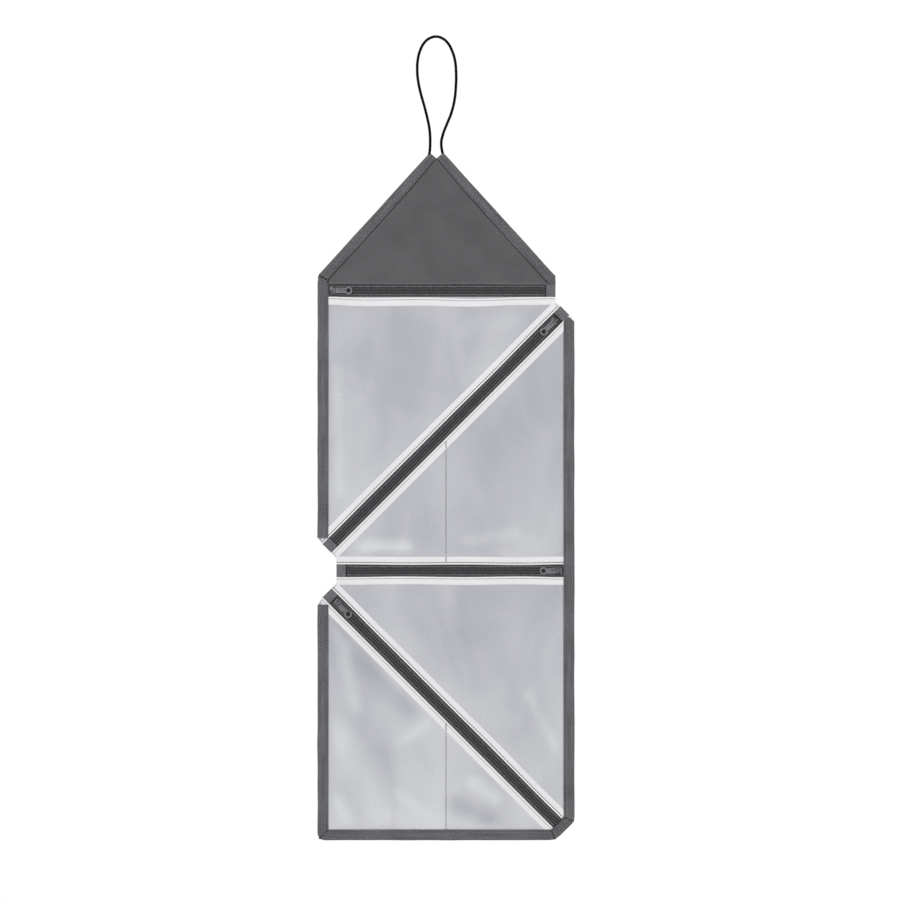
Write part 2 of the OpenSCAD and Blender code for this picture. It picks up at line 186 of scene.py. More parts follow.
# Flap cloth. A triangle of dark grey woven canvas that carries the loop; its
# lower edge is turned under and sewn down over the upper tape of the top zip.
FLAP_TIP_W = 13 * MM
FLAP_SHOULDER = 8 * MM
CLEFT_DROP = 5.5 * MM
CANVAS_T = 0.6 * MM
CLOTH_GRID = 4 * MM
RAW_EDGE = 0.5 * MM
LIP_DROP = 0.2 * MM
LIP_RISE = 1.75 * MM
FLAP_EASE = 9 * MM
FOLD_ROWS = 13
CANVAS_PITCH = 0.55 * MM
CANVAS_TONES = srgb(86, 86, 88), srgb(106, 106, 108)
CANVAS_RELIEF = 0.12 * MM
FLAP_RIPPLE = 0.35 * MM
LIP_H, LIP_SWAY = 3 * MM, 0.6 * MM
LIP_HIGHLIGHT_AT = 0.9 * MM
SHARP_ANGLE = math.radians(42)

joints = {joint["name"]: joint for joint in frame["joints"]}
BINDING_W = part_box("binding_left_upper")[1].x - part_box("binding_left_upper")[0].x
left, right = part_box("binding_left_upper")[0].x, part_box("binding_right_upper")[1].x
z_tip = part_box("flap_binding_left")[1].z
z_top = joints["flap_fold"]["pos_m"][2]
UP, ACROSS = Vector((0, 1)), Vector((1, 0))


def xz(x, z):
    """A point or a direction in the plane of the panels."""
    return Vector((x, z))


def place(point, depth):
    """A point (x, z) in the plane of the panels, brought forward by a depth."""
    return Vector((point.x, -depth, point.y))


def flat(vertex):
    """Where a vertex lies in the plane of the panels."""
    return xz(vertex.co.x, vertex.co.z)


def left_of(way):
    """A direction turned a quarter to the left."""
    return xz(-way.y, way.x)


def meet(point, way, x=None, z=None):
    """The point of a line that has a given x or z."""
    return point + way * ((x - point.x) / way.x if z is None else (z - point.y) / way.y)


def smooth(share):
    """A soft step from 0 to 1."""
    share = min(1, max(0, share))
    return share * share * (3 - 2 * share)


def everything(bm):
    """All that a mesh is made of."""
    return bm.verts[:] + bm.edges[:] + bm.faces[:]


def cut(bm, point, way, clear=True):
    """Cuts a mesh along the line through a point, square to a direction, and clears what lies past it."""
    bmesh.ops.bisect_plane(
        bm, geom=everything(bm), dist=1e-7, clear_outer=clear,
        plane_co=place(point, 0), plane_no=place(way, 0))


def rule(bm, point, way, steps):
    """Rules a mesh with lines square to a direction, at distances from a point."""
    for step in steps:
        cut(bm, point + way * step, way, clear=False)


def rule_grid(bm, size):
    """Cuts a flat mesh into squares."""
    for way in (ACROSS, UP):
        reach = [flat(v).dot(way) for v in bm.verts]
        low = math.floor(min(reach) / size)
        rule(bm, xz(0, 0), way, [k * size for k in range(low, math.ceil(max(reach) / size))])


def cut_cloth(outline, depth):
    """One flat face with the outline of a cut piece of cloth, facing forward."""
    bm = bmesh.new()
    face = bm.faces.new([bm.verts.new(place(point, depth)) for point in outline])
    face.normal_update()
    if face.normal.y > 0:
        face.normal_flip()
    return bm


def thicken(bm, thickness):
    """Gives a sheet its thickness, behind the face it has."""
    bm.normal_update()
    bmesh.ops.solidify(bm, geom=bm.faces[:], thickness=thickness)


def lay_out(bm, origin, along, across):
    """A UV map in metres, so that the weave runs along the piece and across it."""
    lay = bm.loops.layers.uv.new("lay")
    for face in bm.faces:
        for loop in face.loops:
            step = flat(loop.vert) - origin
            loop[lay].uv = step.dot(along), step.dot(across)


def hand_over(name, bm, finish, slot, *nodes, rides=None):
    """Makes a mesh into a finished piece that stands for CAD nodes and may ride on one body."""
    mesh = bpy.data.meshes.new(name)
    bm.to_mesh(mesh)
    bm.free()
    mesh.shade_smooth()
    mesh.set_sharp_from_angle(angle=SHARP_ANGLE)
    mesh.materials.append(finish)
    piece = bpy.data.objects.new(name, mesh)
    scene.collection.objects.link(piece)
    if nodes:
        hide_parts(*nodes)
    if rides:
        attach(piece, rides)
    return piece


def declare_sheet(outline):
    """Works out the area of a piece of cloth's outline; nothing is done with it."""
    turns = zip(outline, outline[1:] + outline[:1])
    area = abs(sum(a.x * b.y - b.x * a.y for a, b in turns)) / 2


def maths(tree, operation, *values):
    """A sum on shader values, each a number or an output to link."""
    return add_node(tree, "Math", dict(enumerate(values)), operation=operation)


def cloudy(tree, where, scale, detail=2, distortion=0):
    """Soft noise in a finish, of the given scale."""
    inputs = {"Vector": where, "Scale": scale, "Detail": detail, "Distortion": distortion}
    return add_node(tree, "TexNoise", inputs)


def woven_finish(name, tones, pitch, relief, grain=0.4, pleat_shading=0.0, line=None):
    """Plain woven cloth with slubs and soft clouds, painted shade of pleats in streaks along it, and a
    painted line along one edge, lighter for a highlight and darker for a shadow.
    """
    finish, tree = new_finish(name, {"Roughness": 0.9, "Specular IOR Level": 0.2, "Sheen Weight": 0.05})
    lay = add_node(tree, "UVMap", {}, uv_map="lay")
    turns = add_node(tree, "Mapping", {0: lay, "Scale": (math.pi / pitch,) * 3})
    split = add_node(tree, "SeparateXYZ", {0: turns}).node.outputs
    crossing = maths(tree, "MULTIPLY", maths(tree, "SINE", split["X"]), maths(tree, "SINE", split["Y"]))
    slub = cloudy(tree, lay, 750, 3)
    cloud = cloudy(tree, lay, 30)
    tone = maths(tree, "MULTIPLY_ADD", cloud, 0.35, 0.32 - grain / 2)
    tone = maths(tree, "MULTIPLY_ADD", slub, grain, tone)
    tone = maths(tree, "MULTIPLY_ADD", crossing, 0.1, tone)
    # Painted shade: lighter and darker streaks along the strip stand in for the light and shade on its
    # pleats.
    if pleat_shading:
        drawn = add_node(tree, "Mapping", {0: lay, "Scale": (14, 620, 1)})
        pleat = cloudy(tree, drawn, 1)
        tone = maths(tree, "MULTIPLY_ADD", maths(tree, "SUBTRACT", pleat, 0.5), pleat_shading, tone)
    # A painted line along one edge: a highlight where the change is positive, a shadow where it is
    # negative.
    if line:
        distance, reach, change = line
        across = add_node(tree, "SeparateXYZ", {0: lay}).node.outputs["Y"]
        tone = maths(tree, "MULTIPLY_ADD", maths(tree, "COMPARE", across, distance, reach), change, tone)
    colour = two_tones(tree, tone, *tones, 0.36, 0.64)
    # The darkest stop, below the cloth's own dark tone, is reached mostly by the painted shadow lines.
    colour.node.color_ramp.elements.new(0.1).color = srgb(38, 38, 40)
    return surfaced(finish, colour, maths(tree, "MULTIPLY_ADD", slub, 0.8, crossing), 0.5, relief)


def lip_sway(x):
    """How far the lower edge of the flap wanders up and down along the zip."""
    return LIP_SWAY * noise.noise(Vector((x * 17, 0.3, 0)))


def flap_lift(point):
    """How far the layers at the foot of the flap bring its face forward."""
    return LIP_RISE * smooth((z_top + FLAP_EASE - point.y) / FLAP_EASE)


flap_foot = xz(left, z_top + FLAP_SHOULDER)
flap_tip = xz(-FLAP_TIP_W / 2, z_tip)
flap_way = (flap_tip - flap_foot).normalized()
flap_in = -left_of(flap_way)
cleft = xz(0, z_tip - CLEFT_DROP)
mirror_x = xz(-1, 1)
half_flap = [
    xz(left + RAW_EDGE, z_top - LIP_DROP),
    meet(flap_foot + flap_in * RAW_EDGE, flap_way, x=left + RAW_EDGE),
    flap_tip + flap_in * RAW_EDGE,
]
flap_outline = half_flap + [cleft - UP * RAW_EDGE] + [p * mirror_x for p in reversed(half_flap)]
# A painted highlight: a thin pale line just above the turned-under lower edge, where the lip catches the
# light.
flap_canvas = woven_finish(
    "flap_canvas", CANVAS_TONES, CANVAS_PITCH, CANVAS_RELIEF, line=(LIP_HIGHLIGHT_AT, 0.5 * MM, 0.3))
flap_rows = xz(0, z_top), UP, [FLAP_EASE * k / FOLD_ROWS for k in range(FOLD_ROWS + 1)]

bm = cut_cloth(flap_outline, CANVAS_T / 2)
rule_grid(bm, CLOTH_GRID)
rule(bm, *flap_rows)
thicken(bm, CANVAS_T)
lay_out(bm, xz(0, z_top), ACROSS, UP)
for v in bm.verts:
    ripple = FLAP_RIPPLE * noise.noise(v.co * 22)
    on_face = v.co.y < 0
    v.co.y -= (flap_lift(flat(v)) if on_face else 0) + ripple * smooth((v.co.z - z_top) / FLAP_EASE)
    v.co.z += lip_sway(v.co.x) * smooth((z_top + LIP_H - v.co.z) / LIP_H)
flap_cloth = hand_over("flap_cloth", bm, flap_canvas, "canvas", "flap_canvas")
declare_sheet(flap_outline)
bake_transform(flap_cloth)


# Flap bindings. Straight strips of the same canvas folded round the sloping
# edges and sewn through near their inner edge; the left one is laid over the
# end of the upright binding, the right one is cut off flush with the side.
BINDING_T = 0.45 * MM
BIND_BACK = -0.8 * MM
BIND_FRONT = 2.65 * MM
FLAP_BIND_FRONT = 0.8 * MM
STITCH_IN, SEWN_IN = 2.1 * MM, 0.12 * MM
STITCH_PITCH, STITCH_SHARE, STITCH_THREAD = 3.6 * MM, 0.6, 0.42 * MM
BINDING_ROW = 3 * MM
EDGE_WANDER, PUCKER = 0.35 * MM, 0.16 * MM
CORD_BULGE, BULGE_R = 0.9 * MM, 5 * MM
TIP_TAPER = 1 - (cleft - flap_tip).dot(flap_in) / BINDING_W
TAPER_L, TIP_CLEAR = 45 * MM, 6 * MM
BINDING_TONES = srgb(84, 84, 87), srgb(120, 120, 123)
BINDING_WEAVE, BINDING_RELIEF = 0.8 * MM, 0.16 * MM
LAP_START = xz(1.8, 0.4) * MM
LAP_WAY = xz(0.872, -0.489)
LAP_L, LAP_RISE, LAP_REACH = 8.8 * MM, 0.7 * MM, 16 * MM
FOOT_EASE = xz(1, -0.6), 1.2 * MM, 8 * MM
SEAM_PITCH, SEAM_SHARE, SEAM_THREAD, SEAM_RISE = 1.4 * MM, 1.1, 1.7 * MM, 0.7 * MM


def folded_profile(front, back, width):
    """Points (in from the edge, depth) round the outside of a strip folded over an edge."""
    groove = width - STITCH_IN
    face = [
        (width, -0.35), (width - 0.25 * MM, -0.1), (width - 0.9 * MM, 0), (groove + 0.7 * MM, 0),
        (groove, -0.2), (groove - 0.7 * MM, 0.02), (width / 2, 0.1), (2.2 * MM, 0.02),
        (1 * MM, -0.16), (0.35 * MM, -0.42),
    ]
    turn = (front - back) / 2
    fore = [(t, front + rise * min(turn, 1 * MM)) for t, rise in face]
    rear = [(t, back - rise * min(turn, 1 * MM)) for t, rise in face]
    return fore + [(0, (front + back) / 2)] + rear[::-1]


def run_strip(profile, start, end, across):
    """Sweeps an open profile of (distance across, depth) points along a straight line."""
    bm = bmesh.new()
    row = [bm.verts.new(place(start + across * t, depth)) for t, depth in profile]
    edges = [bm.edges.new(pair) for pair in zip(row, row[1:])]
    swept = bmesh.ops.extrude_edge_only(bm, edges=edges)["geom"]
    far = [v for v in swept if isinstance(v, bmesh.types.BMVert)]
    bmesh.ops.translate(bm, verts=far, vec=place(end - start, 0))
    bm.normal_update()
    front_face = min(bm.faces, key=lambda face: face.calc_center_median().y)
    if front_face.normal.y > 0:
        bmesh.ops.reverse_faces(bm, faces=bm.faces[:])
    return bm


def joined(*parts):
    """Puts several meshes into one."""
    whole = bmesh.new()
    for part in parts:
        mesh = bpy.data.meshes.new("part")
        part.to_mesh(mesh)
        part.free()
        whole.from_mesh(mesh)
        bpy.data.meshes.remove(mesh)
    return whole


def bind_edge(start, end, inward, front, cuts, rows=()):
    """A binding along an edge, cut off past the given lines, with its slight unevenness."""
    way = (end - start).normalized()
    reach = way * BINDING_W * 2
    bm = run_strip(folded_profile(front, BIND_BACK, BINDING_W), start - reach, end + reach, inward)
    for point, outward in cuts:
        cut(bm, point, outward)
    count = int((end - start + 2 * reach).length / BINDING_ROW)
    rule(bm, start - reach, way, [k * BINDING_ROW for k in range(1, count + 1)])
    for point, direction, steps in rows:
        rule(bm, point, direction, steps)
    thicken(bm, BINDING_T)
    lay_out(bm, start, way, inward)
    for v in bm.verts:
        rim = smooth(1 - (flat(v) - start).dot(inward) / BINDING_W)
        wander = EDGE_WANDER * noise.noise(v.co * 35) * rim
        pucker = PUCKER * noise.noise(v.co * 160)
        v.co += place(inward * wander, pucker)
    return bm


def repeat(bm, step, count):
    """Repeats a mesh along a line, so that it stands there a number of times."""
    bmesh.ops.spin(
        bm, geom=everything(bm), cent=(0, 0, 0), axis=(0, 0, 1), angle=0, dvec=step,
        steps=count - 1, use_duplicate=True)


def sew(start, end, depth, pitch=STITCH_PITCH, share=STITCH_SHARE, thread=STITCH_THREAD, rise=None):
    """A row of stitches, each a short length of thread, plump or pulled flat."""
    way = (end - start).normalized()
    turn = Matrix((place(left_of(way), 0), (0, -1, 0), place(way, 0))).transposed().to_4x4()
    size = Matrix.Diagonal((thread / 2, (rise or thread) / 2, pitch * share / 2, 1))
    first = Matrix.Translation(place(start + way * pitch / 2, depth))
    row = bmesh.new()
    bmesh.ops.create_uvsphere(row, u_segments=6, v_segments=4, radius=1, matrix=first @ turn @ size)
    repeat(row, place(way * pitch, 0), int((end - start).length / pitch))
    return row


def flecked_finish(name, dark, light, fleck=2600, relief=0.4, roughness=0.6, shine=0.35):
    """Twisted thread or moulded nylon, in two tones that change in small flecks."""
    finish, tree = new_finish(name, {"Roughness": roughness, "Specular IOR Level": shine})
    spot = add_node(tree, "TexCoord", {}).node.outputs["Object"]
    flecks = cloudy(tree, spot, fleck)
    return surfaced(finish, two_tones(tree, flecks, dark, light), flecks, relief, 0.05 * MM)


# A painted shadow line runs along the inner edge of these bindings, darker than the cloth, with painted
# shade of pleats in streaks along them.
creased_binding = woven_finish(
    "creased_binding", BINDING_TONES, BINDING_WEAVE, BINDING_RELIEF, 0.95, 0.5,
    (BINDING_W - 0.35 * MM, 0.4 * MM, -0.5))
grey_thread = flecked_finish("grey_thread", srgb(52, 52, 54), srgb(78, 78, 80))
dark_thread = flecked_finish("dark_thread", srgb(16, 16, 18), srgb(34, 34, 36))
caught = [a.lerp(b, k / 4) for a, b in (route[:2], route[-2:]) for k in range(5)]
stitches = {body: [] for body in frame["bodies"]}


def ease_corner(bm, corner, inward, amount, reach):
    """Rounds off a corner of the outline."""
    for v in bm.verts:
        gap = (flat(v) - corner).length
        v.co += place(inward * amount * smooth(1 - gap / reach) ** 2, 0)


def shape_flap_binding(bm, over=0.0):
    """Swells a binding over the cord's end, and brings it forward over the foot of the flap."""
    for v in bm.verts:
        p = flat(v)
        cord_gap = min((p - spot).length for spot in caught)
        swell = CORD_BULGE * smooth(1 - cord_gap / BULGE_R)
        rise = (BIND_FRONT - FLAP_BIND_FRONT) * flap_lift(p) / LIP_RISE
        rise += over * smooth(1 - (p - flap_foot).length / LAP_REACH)
        v.co.y -= rise + swell if v.co.y < 0 else -swell


def narrow(bm, tip, way, inward):
    """Draws a binding in towards its outer edge as it nears the tip of the flap."""
    for v in bm.verts:
        step = flat(v) - tip
        drawn = TIP_TAPER * smooth(1 + step.dot(way) / TAPER_L)
        v.co -= place(inward * step.dot(inward) * drawn, 0)


for side, name in ((1, "left"), (-1, "right")):
    turn = xz(side, 1)
    foot, tip, inward, notch = flap_foot * turn, flap_tip * turn, flap_in * turn, cleft * turn
    way = (tip - foot).normalized()
    tip_cut = (tip, left_of((notch - tip).normalized()) * side)
    end_cut = (foot + LAP_START, -left_of(LAP_WAY)) if side > 0 else (xz(-left, z_top), ACROSS)
    sloped = bind_edge(
        foot, tip, inward, FLAP_BIND_FRONT, [tip_cut, end_cut, (xz(0, z_top), -UP)], [flap_rows])
    narrow(sloped, tip, way, inward)
    shape_flap_binding(sloped, LAP_RISE)
    parts = [sloped]
    if side > 0:
        upright = bind_edge(
            xz(left, z_top), foot, ACROSS, FLAP_BIND_FRONT,
            [(xz(0, z_top), -UP), (foot + flap_in * RAW_EDGE, -flap_in)], [flap_rows])
        shape_flap_binding(upright)
        ease_corner(upright, foot, *FOOT_EASE)
        parts.append(upright)
    flap_binding = hand_over(
        f"flap_edge_{name}", joined(*parts), creased_binding, "binding", f"flap_binding_{name}")
    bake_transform(flap_binding)
    row = inward * (BINDING_W - STITCH_IN)
    for depth in (FLAP_BIND_FRONT - SEWN_IN, BIND_BACK + SEWN_IN):
        seam = sew(foot + way * LAP_REACH + row, tip - way * TIP_CLEAR + row, depth)
        narrow(seam, tip, way, inward)
        stitches["flap"].append(seam)

# The dark stitches across the lapped end of the left binding also stand in for the shadow under that end:
# painted shadow in dark thread.
lap = flap_foot + LAP_START
seam = sew(
    lap, lap + LAP_WAY * LAP_L, FLAP_BIND_FRONT, SEAM_PITCH, SEAM_SHARE, SEAM_THREAD, SEAM_RISE)
shape_flap_binding(seam, LAP_RISE)
lap_seam_and_shadow = hand_over("flap_lap_seam", seam, dark_thread, "thread")
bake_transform(lap_seam_and_shadow)


# Panel backs. Four pieces of the flap's canvas, one behind each pocket, which
# hinge on each other along the edges of the zips where the case folds up.
FOLD_EASE = 1.5 * MM
EAR = 5 * MM
DIAGONAL_INSET = 9 * MM
SHOULDER_DROP = 11 * MM
CORNER_CUT, CORNER_IN = 4 * MM, 2 * MM
BACK_RIPPLE = 0.18 * MM

top_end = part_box("top_zip_tab")[1].x
mid_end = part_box("middle_zip_tab")[0].x
z_mid = joints["middle_fold"]["pos_m"][2]
z_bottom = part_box("binding_bottom")[0].z
ZIP_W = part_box("top_zip_tab")[1].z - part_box("top_zip_tab")[0].z
half = ZIP_W / 2


def fold_line(name):
    """A point of a diagonal fold, and the way along it to the right."""
    at, axis = (Vector(joints[name][key]) for key in ("pos_m", "axis"))
    return xz(at.x, at.z), -xz(axis.x, axis.z).normalized()


fold_1, way_1 = fold_line("upper_diagonal_fold")
fold_2, way_2 = fold_line("lower_diagonal_fold")
over_1, over_2 = left_of(way_1), left_of(way_2)
middle_1, middle_2 = fold_1 + over_1 * half, fold_2 + over_2 * half
low_1, high_1 = (meet(middle_1, way_1, x=x) for x in (left + DIAGONAL_INSET, right - DIAGONAL_INSET))
high_2, low_2 = (meet(middle_2, way_2, x=x) for x in (left + DIAGONAL_INSET, right - DIAGONAL_INSET))
stop_2 = low_2 - way_2 * RAW_EDGE
shoulder = high_1 + xz(DIAGONAL_INSET - RAW_EDGE, -SHOULDER_DROP)
left_in, right_in = left + RAW_EDGE, right - RAW_EDGE
left_end, left_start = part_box("binding_left_upper")[0].z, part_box("binding_left_lower")[1].z
panels = {
    "upper_left": [
        xz(left_in, z_top), xz(top_end, z_top), xz(top_end, z_top - ZIP_W - EAR),
        high_1 + over_1 * half, high_1 - over_1 * half, low_1 - over_1 * half,
        low_1 + over_1 * half, xz(left_in, left_end),
    ],
    "upper_right": [
        low_1 - over_1 * half, high_1 - over_1 * half, shoulder,
        xz(right_in, z_mid), xz(mid_end, z_mid), xz(mid_end, z_mid + EAR),
    ],
    "lower_right": [
        xz(mid_end, z_mid), xz(right_in, z_mid), xz(right_in, low_2.y + CORNER_CUT * 3),
        meet(stop_2, over_2, x=right - CORNER_IN),
        stop_2 - over_2 * half, high_2 - over_2 * half, high_2 + over_2 * half,
        xz(mid_end, z_mid - ZIP_W - EAR),
    ],
    "lower_left": [
        high_2 - over_2 * half, stop_2 - over_2 * half, meet(stop_2, over_2, z=z_bottom + CORNER_IN),
        xz(low_2.x - CORNER_CUT * 3, z_bottom + RAW_EDGE),
        xz(left_in + CORNER_CUT, z_bottom + RAW_EDGE),
        xz(left_in, z_bottom + RAW_EDGE + CORNER_CUT), xz(left_in, left_start),
    ],
}
bends = {
    "upper_right": ("upper_left_panel", fold_1, -over_1),
    "lower_right": ("upper_right_panel", xz(0, z_mid), -UP),
    "lower_left": ("lower_right_panel", fold_2, -over_2),
}
FOLD_STEPS = [FOLD_EASE * k / FOLD_ROWS for k in range(FOLD_ROWS + 1)]


def ride_or_bend(piece, panel, bent):
    """A piece that reaches its panel's fold line has its placing baked into its mesh and rides on no body;
    any other piece of it rides on its panel.
    """
    if bent:
        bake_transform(piece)
    else:
        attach(piece, f"{panel}_panel")


canvas = woven_finish("canvas", CANVAS_TONES, CANVAS_PITCH, CANVAS_RELIEF)
for panel, outline in panels.items():
    bm = cut_cloth(outline, CANVAS_T / 2)
    rule_grid(bm, CLOTH_GRID)
    if panel in bends:
        rule(bm, *bends[panel][1:], FOLD_STEPS)
    for v in bm.verts:
        v.co.y += BACK_RIPPLE * noise.noise(v.co * 18)
    thicken(bm, CANVAS_T)
    lay_out(bm, xz(0, 0), ACROSS, UP)
    back = hand_over(f"{panel}_back", bm, canvas, "canvas", f"canvas_{panel}")
    declare_sheet(outline)
    ride_or_bend(back, panel, panel in bends)


# Zip tapes. Two ribbed woven tapes to each zip, sewn to the canvas under the
# hems of the film; a slot between them takes the post of the slider.
TAPE_T, TAPE_FRONT, TAPE_TUCK = 0.3 * MM, 1.4 * MM, 5 * MM
TAPE_RIPPLE = 0.1 * MM
RIB_HIGHLIGHT_OUT, RIB_SHADE_PITCH = 3.9 * MM, 2.6 * MM
ZIP_PARENT = {
    "top": "upper_left", "upper": "upper_left", "middle": "lower_right", "lower": "lower_right"}
ZIP_ENDS = {
    "top": (xz(left, z_top - half), xz(top_end, z_top - half)),
    "upper": (high_1, low_1),
    "middle": (xz(right, z_mid - half), xz(mid_end, z_mid - half)),
    "lower": (high_2, low_2),
}
HEM_SIDE = {"top": -1, "upper": -1, "middle": 1, "lower": 1}


def zip_lines(name):
    """A zip's start, the way along it, the way across it, and its length."""
    start, end = ZIP_ENDS[name]
    way = (end - start).normalized()
    return start, way, left_of(way), (end - start).length


def tape_finish():
    """Dark tape with painted light and shade across it: a painted highlight along the rib on each side,
    painted shade beside the coil and along the edges next to the hems, fine slanting threads across.
    """
    finish, tree = new_finish("zip_tape", {"Roughness": 0.82, "Specular IOR Level": 0.25})
    lay = add_node(tree, "UVMap", {}, uv_map="lay")
    across = add_node(tree, "SeparateXYZ", {0: lay}).node.outputs["Y"]
    turn = 2 * math.pi / RIB_SHADE_PITCH
    rib_shade_phase = maths(tree, "MULTIPLY_ADD", maths(tree, "ABSOLUTE", across), turn, -RIB_HIGHLIGHT_OUT * turn)
    slant = add_node(tree, "Mapping", {0: lay, "Scale": (4200, 2600, 1), "Rotation": (0, 0, 0.6)})
    twill = add_node(tree, "TexWave", {"Vector": slant, "Scale": 0.32, "Distortion": 0.4})
    fray = cloudy(tree, lay, 420, 3)
    tone = maths(tree, "MULTIPLY_ADD", twill, 0.1, fray)
    # Painted light and shade: lightest over each rib, darkest beside the coil and along the edges next to
    # the hems.
    tone = maths(tree, "MULTIPLY_ADD", maths(tree, "COSINE", rib_shade_phase), 0.32, tone)
    colour = two_tones(tree, tone, srgb(38, 38, 40), srgb(106, 106, 109), 0.2, 0.85)
    return surfaced(finish, colour, tone, 0.5, 0.12 * MM)


tape = tape_finish()
tape_face = [
    (0.35, 0), (1.7, 0), (2.9, 0), (3.25, 0.03), (3.5, 0.2), (3.9, 0.25), (4.3, 0.2), (4.6, 0.03), (5, 0),
]
for name, panel in ZIP_PARENT.items():
    start, way, across, length = zip_lines(name)
    parts = []
    for side in (-1, 1):
        reach = half + (TAPE_TUCK if side == HEM_SIDE[name] else 0)
        profile = [(t * MM, TAPE_FRONT + rise * MM) for t, rise in tape_face] + [(reach, TAPE_FRONT)]
        bm = run_strip(profile, start + way * RAW_EDGE, start + way * (length - RAW_EDGE), across * side)
        rule(bm, start, way, [k * BINDING_ROW for k in range(1, int(length / BINDING_ROW))])
        if name == "middle" and side < 0:
            rule(bm, *bends[panel][1:], FOLD_STEPS)
        for v in bm.verts:
            v.co.y -= TAPE_RIPPLE * noise.noise(v.co * 90)
        thicken(bm, TAPE_T)
        lay_out(bm, start, way, across)
        parts.append(bm)
    tapes = hand_over(f"{name}_tapes", joined(*parts), tape, "tape", f"{name}_zip_tapes")
    ride_or_bend(tapes, panel, name == "middle")


# Zip chains. Two rows of nylon coil that mesh in the middle of each zip; every
# turn of the coil shows as a plump slanting bar sewn down to its tape.
TOOTH_PITCH = 1.2 * MM
TOOTH_SIZE = (0.42 * MM, 1.3 * MM, 0.55 * MM)
TOOTH_OUT = 1.12 * MM
TOOTH_SLANT = math.radians(14)
COIL_DEPTH = 2 * MM
TAB_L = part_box("top_zip_tab")[1].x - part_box("top_zip_tab")[0].x
COVERS = {
    "top": (BINDING_W, TAB_L), "upper": (TAB_L, TAB_L),
    "middle": (BINDING_W, TAB_L), "lower": (TAB_L, BINDING_W)}

nylon = flecked_finish("coil_nylon", srgb(58, 58, 60), srgb(98, 98, 101), 900, 0.15, 0.45, 0.4)
for name, panel in ZIP_PARENT.items():
    start, way, across, length = zip_lines(name)
    frame_turn = Matrix((place(way, 0), place(across, 0), (0, -1, 0))).transposed().to_4x4()
    first, last = COVERS[name][0], length - COVERS[name][1]
    bm = bmesh.new()
    for side in (-1, 1):
        slant = Matrix.Rotation(side * TOOTH_SLANT, 4, "Z")
        size = Matrix.Diagonal((*TOOTH_SIZE, 1))
        along = first + TOOTH_PITCH * (0.5 if side > 0 else 1)
        spot = place(start + way * along + across * side * TOOTH_OUT, COIL_DEPTH)
        bmesh.ops.create_uvsphere(
            bm, u_segments=8, v_segments=4, radius=1,
            matrix=Matrix.Translation(spot) @ frame_turn @ slant @ size)
    repeat(bm, place(way * TOOTH_PITCH, 0), int((last - first) / TOOTH_PITCH))
    hand_over(f"{name}_chain", bm, nylon, "coil", f"{name}_zip_coils", rides=f"{panel}_panel")


# Zip end tabs. Short pieces of grey ribbed tape folded over the bare ends of
# the zips, with their open end turned under and sewn through.
TAB_T, TAB_FRONT, TAB_BACK = 0.35 * MM, 2.1 * MM, 0.75 * MM
TAB_SEAM, TAB_STITCH, TAB_SEWN_IN = 1.6 * MM, 2.4 * MM, 0.02 * MM
TAB_RIPPLE, TAB_DROOP = 0.12 * MM, 0.25 * MM
TABS = {"top": (1,), "upper": (0, 1), "middle": (1,), "lower": (0,)}
turned_end = [(0, -0.5), (0.1, -0.2), (-0.2, 0.05), (-1.1, 0.02), (-1.6, -0.15), (-2.1, 0)]
tab_profile = [(TAB_L + t * MM, TAB_FRONT + rise * MM) for t, rise in turned_end] + [
    (TAB_L / 2, TAB_FRONT + 0.05 * MM), (1.2 * MM, TAB_FRONT - 0.05 * MM),
    (0.4 * MM, TAB_FRONT - 0.25 * MM), (0, (TAB_FRONT + TAB_BACK) / 2),
    (0.4 * MM, TAB_BACK + 0.2 * MM), (1.2 * MM, TAB_BACK), (TAB_L, TAB_BACK),
]
# A painted shadow line across each tab next to its open end, with painted shade of pleats in streaks along
# it.
tab_finish = woven_finish(
    "end_tab", (srgb(94, 94, 97), srgb(136, 136, 140)), 0.9 * MM, 0.22 * MM, 1, 0.5,
    (TAB_L - 0.45 * MM, 0.5 * MM, -0.7))

for name, ends in TABS.items():
    start, way, across, length = zip_lines(name)
    body = f"{ZIP_PARENT[name]}_panel"
    parts = []
    for end in ends:
        edge, inward = (start + way * length, -way) if end else (start, way)
        bm = run_strip(tab_profile, edge - across * half, edge + across * half, inward)
        rule(bm, edge, across, [half * k / 4 for k in range(-3, 4)])
        for v in bm.verts:
            rim = smooth(abs((flat(v) - edge).dot(across)) / half * 4 - 3)
            v.co.y += TAB_RIPPLE * noise.noise(v.co * 200) + TAB_DROOP * rim
        thicken(bm, TAB_T)
        lay_out(bm, edge, across, inward)
        parts.append(bm)
        row = edge + inward * (TAB_L - TAB_SEAM)
        seam = sew(row - across * half, row + across * half, TAB_FRONT - TAB_SEWN_IN, TAB_STITCH)
        stitches[body].append(seam)
    node = f"{name}_zip_tabs" if len(ends) > 1 else f"{name}_zip_tab"
    hand_over(f"{name}_end_tabs", joined(*parts), tab_finish, "binding", node, rides=body)


